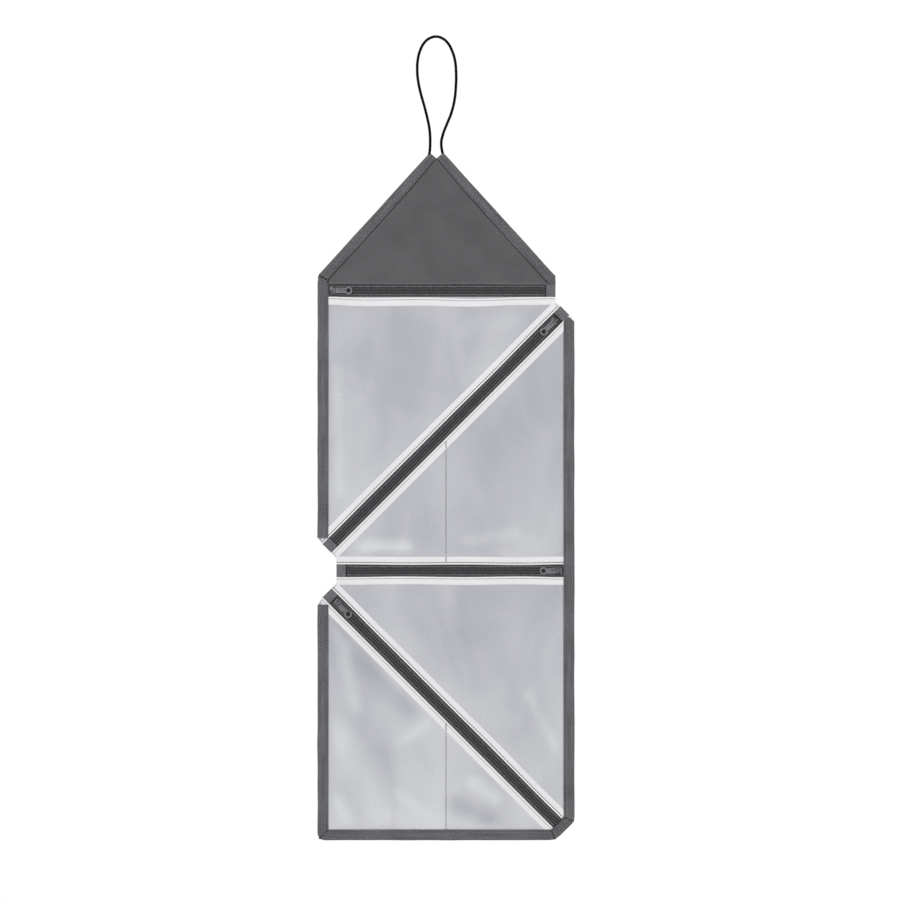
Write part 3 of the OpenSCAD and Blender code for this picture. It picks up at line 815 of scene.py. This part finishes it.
# Pocket film. One sheet of frosted soft plastic over each panel, caught under
# the bindings; it stands off the canvas in the middle and clings at its edges.
FILM_T, FILM_FRONT = 0.3 * MM, 1.7 * MM
FILM_ALPHA = 0.62
FILM_GRID = 4 * MM
FILM_BULGE, BULGE_REACH, DIVIDER_REACH = 1.5 * MM, 36 * MM, 21.6 * MM
STAND_OFF_SHADE = 0.4
HEM_W = 7.5 * MM
CREASE_RISE, CREASE_FADE = 0.4 * MM, 9 * MM
CREASES = {
    "upper_left": [
        ((-0.096, -0.315), (-0.092, -0.43), 0.009, 0.7), ((0.03, -0.278), (0.075, -0.268), 0.016, 0.5)],
    "upper_right": [
        ((0.03, -0.478), (0.075, -0.47), 0.009, 0.7), ((-0.068, -0.484), (-0.03, -0.484), 0.012, 1.6)],
    "lower_right": [
        ((0.088, -0.625), (0.112, -0.672), 0.009, 0.7), ((0.02, -0.57), (0.035, -0.615), 0.02, -0.4)],
    "lower_left": [
        ((-0.094, -0.558), (-0.077, -0.635), 0.012, 0.9), ((0.002, -0.643), (-0.034, -0.669), 0.009, 0.7),
        ((-0.037, -0.717), (0, -0.749), 0.009, 0.7), ((-0.094, -0.66), (-0.05, -0.74), 0.026, 1),
        ((0.035, -0.707), (0.055, -0.722), 0.012, 1.2), ((-0.094, -0.725), (-0.085, -0.743), 0.012, 0.8),
        ((-0.064, -0.592), (-0.026, -0.634), 0.024, -1), ((0.018, -0.727), (0.05, -0.743), 0.016, -1.3),
    ],
}
# Painted light per pocket: a base level, and how much paler the film is painted towards its foot.
PAINTED_PANEL_LIGHT = {
    "upper_left": (-0.55, 1), "upper_right": (-0.95, 0.9), "lower_right": (-0.35, 0.8),
    "lower_left": (-0.75, 1.7)}
z_top_low, z_mid_low = z_top - ZIP_W, z_mid - ZIP_W
x_seam = (left + right) / 2
films = {
    "upper_left": [xz(left_in, z_top_low), xz(top_end, z_top_low)]
    + panels["upper_left"][2:4] + panels["upper_left"][6:],
    "upper_right": panels["upper_right"],
    "lower_right": [xz(mid_end, z_mid_low), xz(right_in, z_mid_low)]
    + panels["lower_right"][2:4] + [stop_2 + over_2 * half] + panels["lower_right"][6:],
    "lower_left": panels["lower_left"],
}
inner_left, inner_right = xz(left + BINDING_W, 0), xz(right - BINDING_W, 0)
hem_1, hem_2 = over_1 * (half + HEM_W), over_2 * (half + HEM_W)
pocket_sides = {
    "upper_left": [(UP * (z_top_low - HEM_W), -UP), (inner_left, ACROSS), (middle_1 + hem_1, over_1)],
    "upper_right": [(UP * (z_mid + HEM_W), UP), (inner_right, -ACROSS), (middle_1 - hem_1, -over_1)],
    "lower_right": [(UP * (z_mid_low - HEM_W), -UP), (inner_right, -ACROSS), (middle_2 + hem_2, over_2)],
    "lower_left": [(UP * (z_bottom + BINDING_W), UP), (inner_left, ACROSS), (middle_2 - hem_2, -over_2)],
}
DIVIDED = ("upper_right", "lower_left")


def stand_off(panel, point):
    """How far the film stands off the canvas, from 0 at a seam to about 1."""
    share = 1
    for edge, inward in pocket_sides[panel]:
        share *= smooth((point - edge).dot(inward) / BULGE_REACH)
    if panel in DIVIDED:
        share *= smooth(abs(point.x - x_seam) / DIVIDER_REACH)
    waves = noise.noise(Vector((point.x * 30 + point.y * 12, point.y * 10, len(panel))))
    return share * (0.7 + 0.7 * waves)


def crease(panel, point):
    """How far the soft ridges and hollows of a pocket's film bring it forward at a point, or back; the
    same height paints the ridges paler and the hollows darker as painted light and shade.
    """
    height = 0
    for start, end, width, lift in CREASES[panel]:
        start, way = Vector(start), Vector(end) - Vector(start)
        along = min(1, max(0, (point - start).dot(way) / way.length_squared))
        height += lift * smooth(1 - (point - start - way * along).length / width)
    inside = min((point - edge).dot(inward) for edge, inward in pocket_sides[panel])
    return height * smooth(inside / CREASE_FADE)


def film_finish(name, dark, light, alpha):
    """Frosted plastic film with a fine grain and soft clouds, made lighter and darker by an attribute: on
    the pockets it holds painted highlights and painted shade, on the hems a paler band along the fold.
    """
    finish, tree = new_finish(name, {"Roughness": 0.42, "Specular IOR Level": 0.35, "Alpha": alpha})
    lay = add_node(tree, "UVMap", {}, uv_map="lay")
    pale = add_node(tree, "Attribute", {}, attribute_name="pale").node.outputs["Fac"]
    drift = add_node(tree, "Mapping", {0: lay, "Scale": (19, 11, 1), "Rotation": (0, 0, 0.5)})
    cloud = cloudy(tree, drift, 1, distortion=0.6)
    frost = cloudy(tree, lay, 420)
    tone = maths(tree, "MULTIPLY_ADD", cloud, 0.8, 0.05)
    tone = maths(tree, "MULTIPLY_ADD", pale, 0.3, tone)
    tone = maths(tree, "MULTIPLY_ADD", frost, 0.3, tone)
    grain = cloudy(tree, lay, 1400)
    return surfaced(finish, two_tones(tree, tone, dark, light, 0.2, 1), grain, 0.12, 0.05 * MM)


film = film_finish("frosted_film", srgb(205, 206, 215), srgb(251, 252, 255), FILM_ALPHA)
for panel, outline in films.items():
    bm = cut_cloth(outline, FILM_FRONT)
    rule_grid(bm, FILM_GRID)
    if panel in DIVIDED:
        rule(bm, *bends[panel][1:], FOLD_STEPS)
    pale = bm.verts.layers.float.new("pale")
    high, low = max(p.y for p in outline), min(p.y for p in outline)
    base, gain = PAINTED_PANEL_LIGHT[panel]
    for v in bm.verts:
        share, ridge = stand_off(panel, flat(v)), crease(panel, flat(v))
        # Painted light and shade on the film: paler towards the foot of each pocket, darker where it
        # stands off the canvas, paler on the ridges and darker in the hollows.
        v[pale] = base + gain * (high - v.co.z) / (high - low) - STAND_OFF_SHADE * share + ridge
        v.co.y -= FILM_BULGE * share + CREASE_RISE * ridge
    thicken(bm, FILM_T)
    lay_out(bm, xz(0, 0), ACROSS, UP)
    pocket = hand_over(f"{panel}_pocket", bm, film, "film", f"film_{panel}")
    declare_sheet(outline)
    ride_or_bend(pocket, panel, panel in DIVIDED)


# Film hems. Beside each zip the film is turned back on itself, so it shows as
# a whiter band, and one row of stitches close to the fold holds the zip tape.
HEM_T, HEM_FRONT = 0.22 * MM, 2 * MM
HEM_STITCH, HEM_OVER = 1.9 * MM, 0.15 * MM
HEM_ALPHA, FOLD_PALE = 0.92, 1.6
HEM_ROWS, HEM_RIPPLE = 150, 0.1 * MM
LAPPED, TUCKED = 0.15 * MM, 4 * MM
HEM_SWAY = {"top": 3.4 * MM, "upper": 0.7 * MM, "middle": 0.9 * MM, "lower": 0.7 * MM}
STEADY = 25 * MM
hem_face = [
    (0.5, -0.75), (0.12, -0.6), (0, -0.35), (0.12, -0.1), (0.45, 0.02), (1.1, 0.03), (1.5, -0.06),
    (1.9, -0.17), (2.3, -0.06), (3.1, 0.02), (5.2, 0.02), (6.8, -0.02), (7.3, -0.12), (7.5, -0.3),
]
hem_film = film_finish("doubled_film", srgb(240, 240, 242), srgb(254, 254, 255), HEM_ALPHA)
hem_thread = flecked_finish("hem_thread", srgb(118, 118, 121), srgb(158, 158, 161))


def mitre(outer, inner, keep):
    """The cut from an outer corner to an inner one that keeps the side a point is on."""
    outward = left_of((inner - outer).normalized())
    return outer, outward if (keep - outer).dot(outward) < 0 else -outward


def hem_sway(zip_name, point, cuts):
    """How far a hem wanders across its line, held steady at its ends."""
    held = min((end - point).dot(outward) for end, outward in cuts)
    return HEM_SWAY[zip_name] * noise.noise(place(point, 0) * 13) * smooth(held / STEADY)


ears = {
    "upper_left": (high_1 + over_1 * half, xz(top_end, z_top_low - EAR)),
    "upper_right": (low_1 - over_1 * half, xz(mid_end, z_mid + EAR)),
    "lower_right": (high_2 + over_2 * half, xz(mid_end, z_mid_low - EAR)),
}
middle = xz(x_seam, z_mid)
ear_cuts = {panel: mitre(*ear, middle) for panel, ear in ears.items()}
left_cut = (xz(left + TUCKED, 0), -ACROSS)
right_cut = (xz(right - TUCKED, 0), ACROSS)
top_cut, mid_cut = (xz(top_end, 0), ACROSS), (xz(mid_end, 0), -ACROSS)
corner_cut = (low_2 - way_2 * TUCKED, way_2)
hems = [
    ("upper_left", "top", xz(left, z_top_low), ACROSS, -UP, 0, [left_cut, top_cut]),
    ("upper_left", "upper", middle_1 + over_1 * half, way_1, over_1, LAPPED,
     [left_cut, ear_cuts["upper_left"], (xz(0, z_top_low), UP)]),
    ("upper_right", "upper", fold_1, way_1, -over_1, LAPPED, [right_cut, ear_cuts["upper_right"]]),
    ("upper_right", "middle", xz(left, z_mid), ACROSS, UP, 0, [right_cut, mid_cut]),
    ("lower_right", "middle", xz(left, z_mid_low), ACROSS, -UP, 0, [right_cut, mid_cut]),
    ("lower_right", "lower", middle_2 + over_2 * half, way_2, over_2, LAPPED,
     [right_cut, ear_cuts["lower_right"], corner_cut, (xz(0, z_mid_low), UP)]),
    ("lower_left", "lower", fold_2, way_2, -over_2, 0,
     [left_cut, corner_cut, (xz(0, z_bottom + TUCKED), -UP)]),
]
for panel, zip_name, start, way, inward, raised, cuts in hems:
    at_fold = start in (fold_1, fold_2)
    overlap = HEM_OVER if at_fold else 0
    profile = [(t * MM - overlap, HEM_FRONT + raised + f * MM) for t, f in hem_face]
    span = (right - left) * 2
    bm = run_strip(profile, start - way * span, start + way * span, inward)
    for point, outward in cuts:
        cut(bm, point, outward)
    rule(bm, start, way, [k * BINDING_ROW for k in range(-HEM_ROWS, HEM_ROWS)])
    if at_fold:
        rule(bm, *bends[panel][1:], FOLD_STEPS)
    pale = bm.verts.layers.float.new("pale")
    for v in bm.verts:
        # Paler along the fold of the hem.
        v[pale] = FOLD_PALE * smooth(1 - (flat(v) - start).dot(inward) / HEM_STITCH)
        sway = 0 if at_fold else hem_sway(zip_name, flat(v), cuts)
        v.co += place(inward * sway, HEM_RIPPLE * noise.noise(v.co * 70))
    thicken(bm, HEM_T)
    lay_out(bm, start, way, inward)
    hem = hand_over(f"{panel}_{zip_name}_hem", bm, hem_film, "film")
    ride_or_bend(hem, panel, at_fold)


# Side and bottom bindings. Strips of canvas folded round the outer edges over
# canvas, film and zip ends, mitred at the corners and sewn right through.
SIDE_TONES = srgb(86, 86, 89), srgb(122, 122, 126)
SIDE_SEWN_IN, SEAM_SUNK = 0.1 * MM, 0.2 * MM
SEAM_FROM, SEAM_TO = 0.15, 0.97
corner_out = meet(low_2, over_2, x=right)
corner_in = meet(low_2 - way_2 * BINDING_W, over_2, x=right - BINDING_W)
corner_low = meet(low_2, over_2, z=z_bottom)
corner_low_in = meet(low_2 - way_2 * BINDING_W, over_2, z=z_bottom + BINDING_W)
bottom_left = xz(left, z_bottom)
bottom_left_in = bottom_left + xz(BINDING_W, BINDING_W)
eased = [
    (corner_out, xz(-1, 0.4), 0.4 * MM, 8 * MM), (corner_low, xz(-0.4, 1), 0.6 * MM, 9 * MM),
    (bottom_left, xz(1, 1), 1.4 * MM, 9 * MM)]
# Painted shade of pleats in streaks along the side bindings.
side_binding = woven_finish("side_binding", SIDE_TONES, BINDING_WEAVE, BINDING_RELIEF, 0.6, 0.42)

seam_1 = mitre(corner_out, corner_in, xz(right, z_mid))
seam_2 = mitre(corner_low, corner_low_in, xz(0, z_bottom))
seam_3 = mitre(bottom_left, bottom_left_in, xz(left, z_mid))
at_fold_1, at_fold_2 = (fold_1, over_1), (fold_2, over_2)
shoulder_cut = (shoulder + UP * MM, xz(0.6, 0.8))
edges = [
    ("left_upper", "upper_left", xz(left, z_top), xz(left, left_end), ACROSS,
     [(xz(0, z_top), UP), (xz(0, left_end), -UP)]),
    ("right_upper", "upper_right", xz(right, high_1.y), xz(right, z_mid), -ACROSS,
     [at_fold_1, shoulder_cut, (xz(0, z_mid), -UP)]),
    ("right_lower", "lower_right", xz(right, z_mid), corner_out, -ACROSS,
     [(xz(0, z_mid), UP), seam_1]),
    ("corner", "lower_right", corner_out, low_2 - over_2 * half, -way_2,
     [(seam_1[0], -seam_1[1]), (fold_2, -over_2)]),
    ("left_lower", "lower_left", xz(left, left_start), bottom_left, ACROSS,
     [(xz(0, left_start), UP), seam_3]),
    ("bottom", "lower_left", bottom_left, corner_low, UP,
     [(seam_3[0], -seam_3[1]), seam_2, at_fold_2]),
]
for name, panel, start, end, inward, cuts in edges:
    rows = [(*bends[panel][1:], FOLD_STEPS)] if panel in bends and name != "corner" else []
    bm = bind_edge(start, end, inward, BIND_FRONT, cuts, rows)
    if name == "bottom":
        stub = bind_edge(
            low_2 - over_2 * half, corner_low, -way_2, BIND_FRONT,
            [at_fold_2, (seam_2[0], -seam_2[1])], rows)
        bm = joined(bm, stub)
    for easing in eased:
        ease_corner(bm, *easing)
    finish = creased_binding if name == "corner" else side_binding
    edging = hand_over(f"{name}_edge", bm, finish, "binding", f"binding_{name}")
    ride_or_bend(edging, panel, name not in ("left_upper", "corner"))
    way = (end - start).normalized()
    row = inward * (BINDING_W - STITCH_IN)
    clear = way * BINDING_W
    for depth in (BIND_FRONT - SIDE_SEWN_IN, BIND_BACK + SIDE_SEWN_IN):
        stitches[f"{panel}_panel"].append(sew(start + clear + row, end - clear + row, depth))

joins = {
    "lower_right": [(corner_out, corner_in)],
    "lower_left": [(corner_low, corner_low_in), (bottom_left, bottom_left_in)],
}
for panel, lines in joins.items():
    rows = []
    for outer, inner in lines:
        ends = outer.lerp(inner, SEAM_FROM), outer.lerp(inner, SEAM_TO)
        for depth in (BIND_FRONT - SIDE_SEWN_IN, BIND_BACK + SEAM_SUNK):
            rows.append(sew(*ends, depth, SEAM_PITCH, SEAM_SHARE, SEAM_THREAD, SEAM_RISE))
    hand_over(f"{panel}_corner_seams", joined(*rows), dark_thread, "thread", rides=f"{panel}_panel")


# Pocket dividers. A line of stitches straight down two of the pockets, drawn
# tight where it crosses the hems, which sews the film to the canvas behind it.
DIVIDER_PITCH, DIVIDER_SHARE, DIVIDER_THREAD = 3 * MM, 0.9, 0.55 * MM
ON_FILM, ON_BACK = FILM_FRONT + 0.12 * MM, -CANVAS_T / 2 - 0.1 * MM
TIGHT_PITCH, TIGHT_SHARE, TIGHT_THREAD = 1.7 * MM, 1.2, 0.85 * MM
dividers = {
    "upper_right": (fold_1, way_1, -over_1, [z_mid + HEM_W, z_mid + HEM_STITCH]),
    "lower_left": (fold_2, way_2, -over_2, [z_bottom + BINDING_W - RAW_EDGE]),
}
divider_thread = flecked_finish("divider_thread", srgb(44, 44, 47), srgb(74, 74, 77))
for panel, (fold, way, inward, stops) in dividers.items():
    on_hem, off_hem = (meet(fold + inward * t, way, x=x_seam) for t in (HEM_STITCH, HEM_W))
    stops = [xz(x_seam, z) for z in stops]
    rows = [
        sew(top, foot, depth, DIVIDER_PITCH, DIVIDER_SHARE, DIVIDER_THREAD) for top, foot, depth in (
            (off_hem, stops[0], ON_FILM), (on_hem, stops[-1], ON_BACK))]
    for top, foot in [(on_hem, off_hem), *zip(stops, stops[1:])]:
        rows.append(sew(top, foot, HEM_FRONT + LAPPED, TIGHT_PITCH, TIGHT_SHARE, TIGHT_THREAD))
    hand_over(
        f"{panel}_divider", joined(*rows), divider_thread, "thread", f"seam_{panel}",
        rides=f"{panel}_panel")


# Seam stitches. Grey thread along every binding and end tab, and along the hems
# and their free corners; on three of the hems the thread is thicker and darker.
HEM_PITCH, HEM_SHARE, HEM_THREAD, THICK_HEM_THREAD = 2.8 * MM, 1.02, 0.56 * MM, 0.8 * MM
DARKER_HEM_ROWS = [("upper_left", "upper"), ("upper_right", "middle"), ("lower_right", "lower")]
EAR_STITCH, HEM_SEWN_IN = 1.6 * MM, 0.05 * MM
LEAST_SLOPE = 0.1
last_thread = flecked_finish("last_thread", srgb(22, 22, 24), srgb(48, 48, 51))

for panel, zip_name, start, way, inward, raised, cuts in hems:
    line = start + inward * HEM_STITCH
    reach = [-math.inf, math.inf]
    for point, outward in cuts:
        slope = way.dot(outward)
        if abs(slope) > LEAST_SLOPE:
            limit = (point - line).dot(outward) / slope
            reach = [max(reach[0], limit), reach[1]] if slope < 0 else [reach[0], min(reach[1], limit)]
    ends = line + way * reach[0], line + way * reach[1]
    # Three of the hem rows get thicker, darker thread.
    last = (panel, zip_name) in DARKER_HEM_ROWS
    thread = THICK_HEM_THREAD if last else HEM_THREAD
    bm = sew(*ends, HEM_FRONT + raised - HEM_SEWN_IN, HEM_PITCH, HEM_SHARE, thread, HEM_THREAD)
    if start not in (fold_1, fold_2):
        for v in bm.verts:
            v.co += place(inward * hem_sway(zip_name, flat(v), cuts), 0)
    finish = last_thread if last else hem_thread
    hand_over(f"{panel}_{zip_name}_hem_stitches", bm, finish, "thread", rides=f"{panel}_panel")

for panel, (outer, inner) in ears.items():
    inset = ear_cuts[panel][1] * EAR_STITCH
    bm = sew(outer - inset, inner - inset, HEM_FRONT + LAPPED, HEM_PITCH, HEM_SHARE, HEM_THREAD)
    hand_over(f"{panel}_ear_stitches", bm, hem_thread, "thread", rides=f"{panel}_panel")

for body, rows in stitches.items():
    if rows:
        hand_over(f"{body}_stitches", joined(*rows), grey_thread, "thread", rides=body)


# Sliders and pulls. Die-cast zinc under dark satin enamel, with painted light on the
# front faces and painted shade further back; a slider runs on the coils, and its pull swings on a cross
# pin through its lug.
PLATE_FRONT = 3.3 * MM
BACK_PLATE, FRONT_PLATE = (0.4 * MM, 1 * MM, 0.12 * MM), (2.65 * MM, PLATE_FRONT, 0.28 * MM)
SIDE_WALL, POST = (1.55 * MM, 2.8 * MM, 0.1 * MM), (0.9 * MM, 2.75 * MM, 0.05 * MM)
LUG_R, LUG_W, LUG_SINK, LUG_BEVEL = 1.03 * MM, 1.6 * MM, 0.1 * MM, 0.05 * MM
PIN_R, PIN_L = 0.5 * MM, 3.8 * MM
PULL_L, PULL_W, PULL_T = 13.5 * MM, 5.2 * MM, 0.8 * MM
PULL_BEVEL, PULL_RIM, SINK = 0.14 * MM, 0.6 * MM, 0.2 * MM
EYE_R, EYE_HOLE_R = 3.7 * MM, 2.1 * MM
LIT_FRONT_REACH = 0.14 * MM
mirror_z = xz(1, -1)


def enamel_finish():
    """Satin enamel over zinc, with painted shade making it nearly black further back and a painted
    highlight making it grey on the faces nearest the front.
    """
    finish, tree = new_finish(
        "zip_enamel", {"Metallic": 0.75, "Roughness": 0.4, "Specular IOR Level": 0.5})
    spot = add_node(tree, "TexCoord", {}).node.outputs["Object"]
    depth = add_node(tree, "SeparateXYZ", {0: spot}).node.outputs["Y"]
    # Painted light and shade: the faces nearest the front are painted grey, those further back nearly
    # black.
    lit_front = add_node(
        tree, "MapRange",
        {"Value": depth, "From Min": LIT_FRONT_REACH - PLATE_FRONT, "From Max": -LIT_FRONT_REACH - PLATE_FRONT})
    rub = cloudy(tree, spot, 350, 4)
    tone = maths(tree, "MULTIPLY_ADD", lit_front, 0.5, rub)
    colour = two_tones(tree, tone, srgb(12, 12, 14), srgb(114, 114, 117), 0.55, 1)
    speck = cloudy(tree, spot, 3000, 1)
    return surfaced(finish, colour, speck, 0.15, 0.03 * MM)


def ring(centre, radius, count, first=0.0, last=2 * math.pi):
    """Points along an arc, from one angle to another."""
    steps = count if last - first >= 2 * math.pi else count - 1
    turns = [first + (last - first) * k / steps for k in range(count)]
    return [centre + Vector((math.cos(a), math.sin(a))) * radius for a in turns]


def both_sides(half, middle=()):
    """An outline from the points of its first half in millimetres, with others between the halves."""
    points = [Vector(p) * MM for p in half]
    return [*points, *middle, *(p * mirror_z for p in reversed(points))]


def plate(bm, loops, back, front, bevel, rim=0.0):
    """A flat plate with the given outer outline and holes, its front edges rounded, sunk inside a rim."""
    edges = []
    for points in loops:
        verts = [bm.verts.new(place(point, back)) for point in points]
        edges += [bm.edges.new(pair) for pair in zip(verts, verts[1:] + verts[:1])]
    filled = bmesh.ops.triangle_fill(bm, edges=edges, use_beauty=True)["geom"]
    base = [face for face in filled if isinstance(face, bmesh.types.BMFace)]
    made = bmesh.ops.extrude_face_region(bm, geom=base)["geom"]
    top = [v for v in made if isinstance(v, bmesh.types.BMVert)]
    bmesh.ops.translate(bm, verts=top, vec=(0, back - front, 0))
    raised = set(top)
    caps = {face for face in made if isinstance(face, bmesh.types.BMFace)}
    brim = [
        edge for edge in {e for face in caps for e in face.edges}
        if sum(face in caps for face in edge.link_faces) == 1 and set(edge.verts) <= raised]
    if rim:
        bmesh.ops.recalc_face_normals(bm, faces=bm.faces[:])
        bmesh.ops.inset_region(
            bm, faces=list(caps), thickness=rim, depth=-SINK, use_boundary=True, use_even_offset=True)
    bmesh.ops.bevel(
        bm, geom=brim, offset=bevel, offset_type="OFFSET", segments=2, profile=0.5,
        affect="EDGES", material=-1)


def rod(bm, radius, length, segments, depth):
    """A round rod across the zip, through the line that the pull swings on."""
    bmesh.ops.create_cone(
        bm, cap_ends=True, segments=segments, radius1=radius, radius2=radius, depth=length,
        matrix=Matrix.Translation((0, -depth, 0)))


def set_on_zip(bm, name):
    """Moves a mesh drawn round the pin, with its length along +X, to the slider's place on its zip."""
    _, way, across, _ = zip_lines(name)
    turn = Matrix((place(way, 0), (0, 1, 0), place(across, 0))).transposed().to_4x4()
    pin = joints[f"{name}_pull_swing"]["pos_m"]
    bmesh.ops.transform(bm, matrix=Matrix.Translation((pin[0], 0, pin[2])) @ turn, verts=bm.verts[:])
    bmesh.ops.recalc_face_normals(bm, faces=bm.faces[:])


enamel = enamel_finish()
slider_outline = both_sides([(-4.5, -3), (-3.3, -4), (-0.9, -4), (4.5, -2.8)])
wall = [(-3.3, 3.1), (-3.3, 3.95), (-0.9, 3.95), (4.3, 2.8), (4.3, 2.1), (-0.9, 3.1)]
near_wall, far_wall = [[xz(x, side * z) * MM for x, z in wall] for side in (-1, 1)]
slider_plates = [
    (slider_outline, BACK_PLATE), (slider_outline, FRONT_PLATE), (near_wall, SIDE_WALL),
    (far_wall, SIDE_WALL), (both_sides([(-3.9, -0.28), (-1.35, -0.28)]), POST)]
lug_foot = [xz(x * LUG_R, z * LUG_W / 2) for x, z in ((-1, -1), (1, -1), (1, 1), (-1, 1))]
yoke = [(1.43, 0.95), (-0.6, 0.95), (-0.6, 1.7), (-0.35, 1.95), (1.5, 1.95), (2.9, PULL_W / 2 / MM)]
eye = xz(PULL_L, 0)
neck = math.pi - math.asin(PULL_W / 2 / EYE_R)
pull_loops = [both_sides(yoke, ring(eye, EYE_R, 19, neck, -neck)), ring(eye, EYE_HOLE_R, 24)]
for name in ZIP_PARENT:
    pin_depth = -joints[f"{name}_pull_swing"]["pos_m"][1]
    bm = bmesh.new()
    for outline, depths in slider_plates:
        plate(bm, [outline], *depths)
    rod(bm, LUG_R, LUG_W, 24, pin_depth)
    plate(bm, [lug_foot], PLATE_FRONT - LUG_SINK, pin_depth, LUG_BEVEL)
    set_on_zip(bm, name)
    body = f"{name}_zip_slider"
    hand_over(f"{name}_slider_body", bm, enamel, "metal", body, rides=body)

    bm = bmesh.new()
    depth = pin_depth - PULL_T / 2
    plate(bm, pull_loops, depth, depth + PULL_T, PULL_BEVEL, PULL_RIM)
    rod(bm, PIN_R, PIN_L, 16, pin_depth)
    set_on_zip(bm, name)
    body = f"{name}_zip_pull"
    hand_over(f"{name}_pull_tag", bm, enamel, "metal", body, rides=body)


# Studio. A pale floor well below the hanging case, two large soft lamps, and a
# white surround that the camera and the reflections see at full white.
FLOOR_Z = -1.2
FLOOR_R = 2.3
LAMPS = {"key": ((-1.3, -2.3, 0.7), 1.8, 20), "fill": ((1.7, -2.2, -0.5), 2, 11)}
AMBIENT = 0.62

bm = bmesh.new()
bmesh.ops.create_circle(
    bm, cap_ends=True, segments=96, radius=FLOOR_R, matrix=Matrix.Translation((0, 0, FLOOR_Z)))
floor_mesh = bpy.data.meshes.new("floor")
bm.to_mesh(floor_mesh)
bm.free()
floor_finish, tree = new_finish("floor_paint", {"Roughness": 0.9, "Specular IOR Level": 0.1})
spot = add_node(tree, "TexCoord", {}).node.outputs["Object"]
patch = cloudy(tree, spot, 6)
paint = two_tones(tree, patch, srgb(232, 232, 232), srgb(238, 238, 238))
tree.links.new(paint, tree.nodes["Principled BSDF"].inputs["Base Color"])
floor_mesh.materials.append(floor_finish)
floor = bpy.data.objects.new("floor", floor_mesh)
scene.collection.objects.link(floor)

for name, (spot, size, power) in LAMPS.items():
    lamp = bpy.data.lights.new(name, "AREA")
    lamp.shape, lamp.size, lamp.energy = "DISK", size, power
    stand = bpy.data.objects.new(name, lamp)
    stand.location = spot
    stand.rotation_euler = (Vector((aim.x, 0, -aim.y)) - Vector(spot)).to_track_quat("-Z", "Y").to_euler()
    scene.collection.objects.link(stand)

world = bpy.data.worlds.new("studio")
world.use_nodes = True
scene.world = world
tree = world.node_tree
ray = add_node(tree, "LightPath", {}).node.outputs
seen = maths(tree, "MAXIMUM", ray["Is Camera Ray"], ray["Is Glossy Ray"])
seen = maths(tree, "MAXIMUM", seen, ray["Is Transmission Ray"])
level = add_node(tree, "MapRange", {0: seen, "To Min": AMBIENT, "To Max": 1})
tree.links.new(level, tree.nodes["Background"].inputs["Strength"])
tree.nodes["Background"].inputs["Color"].default_value = (1, 1, 1, 1)
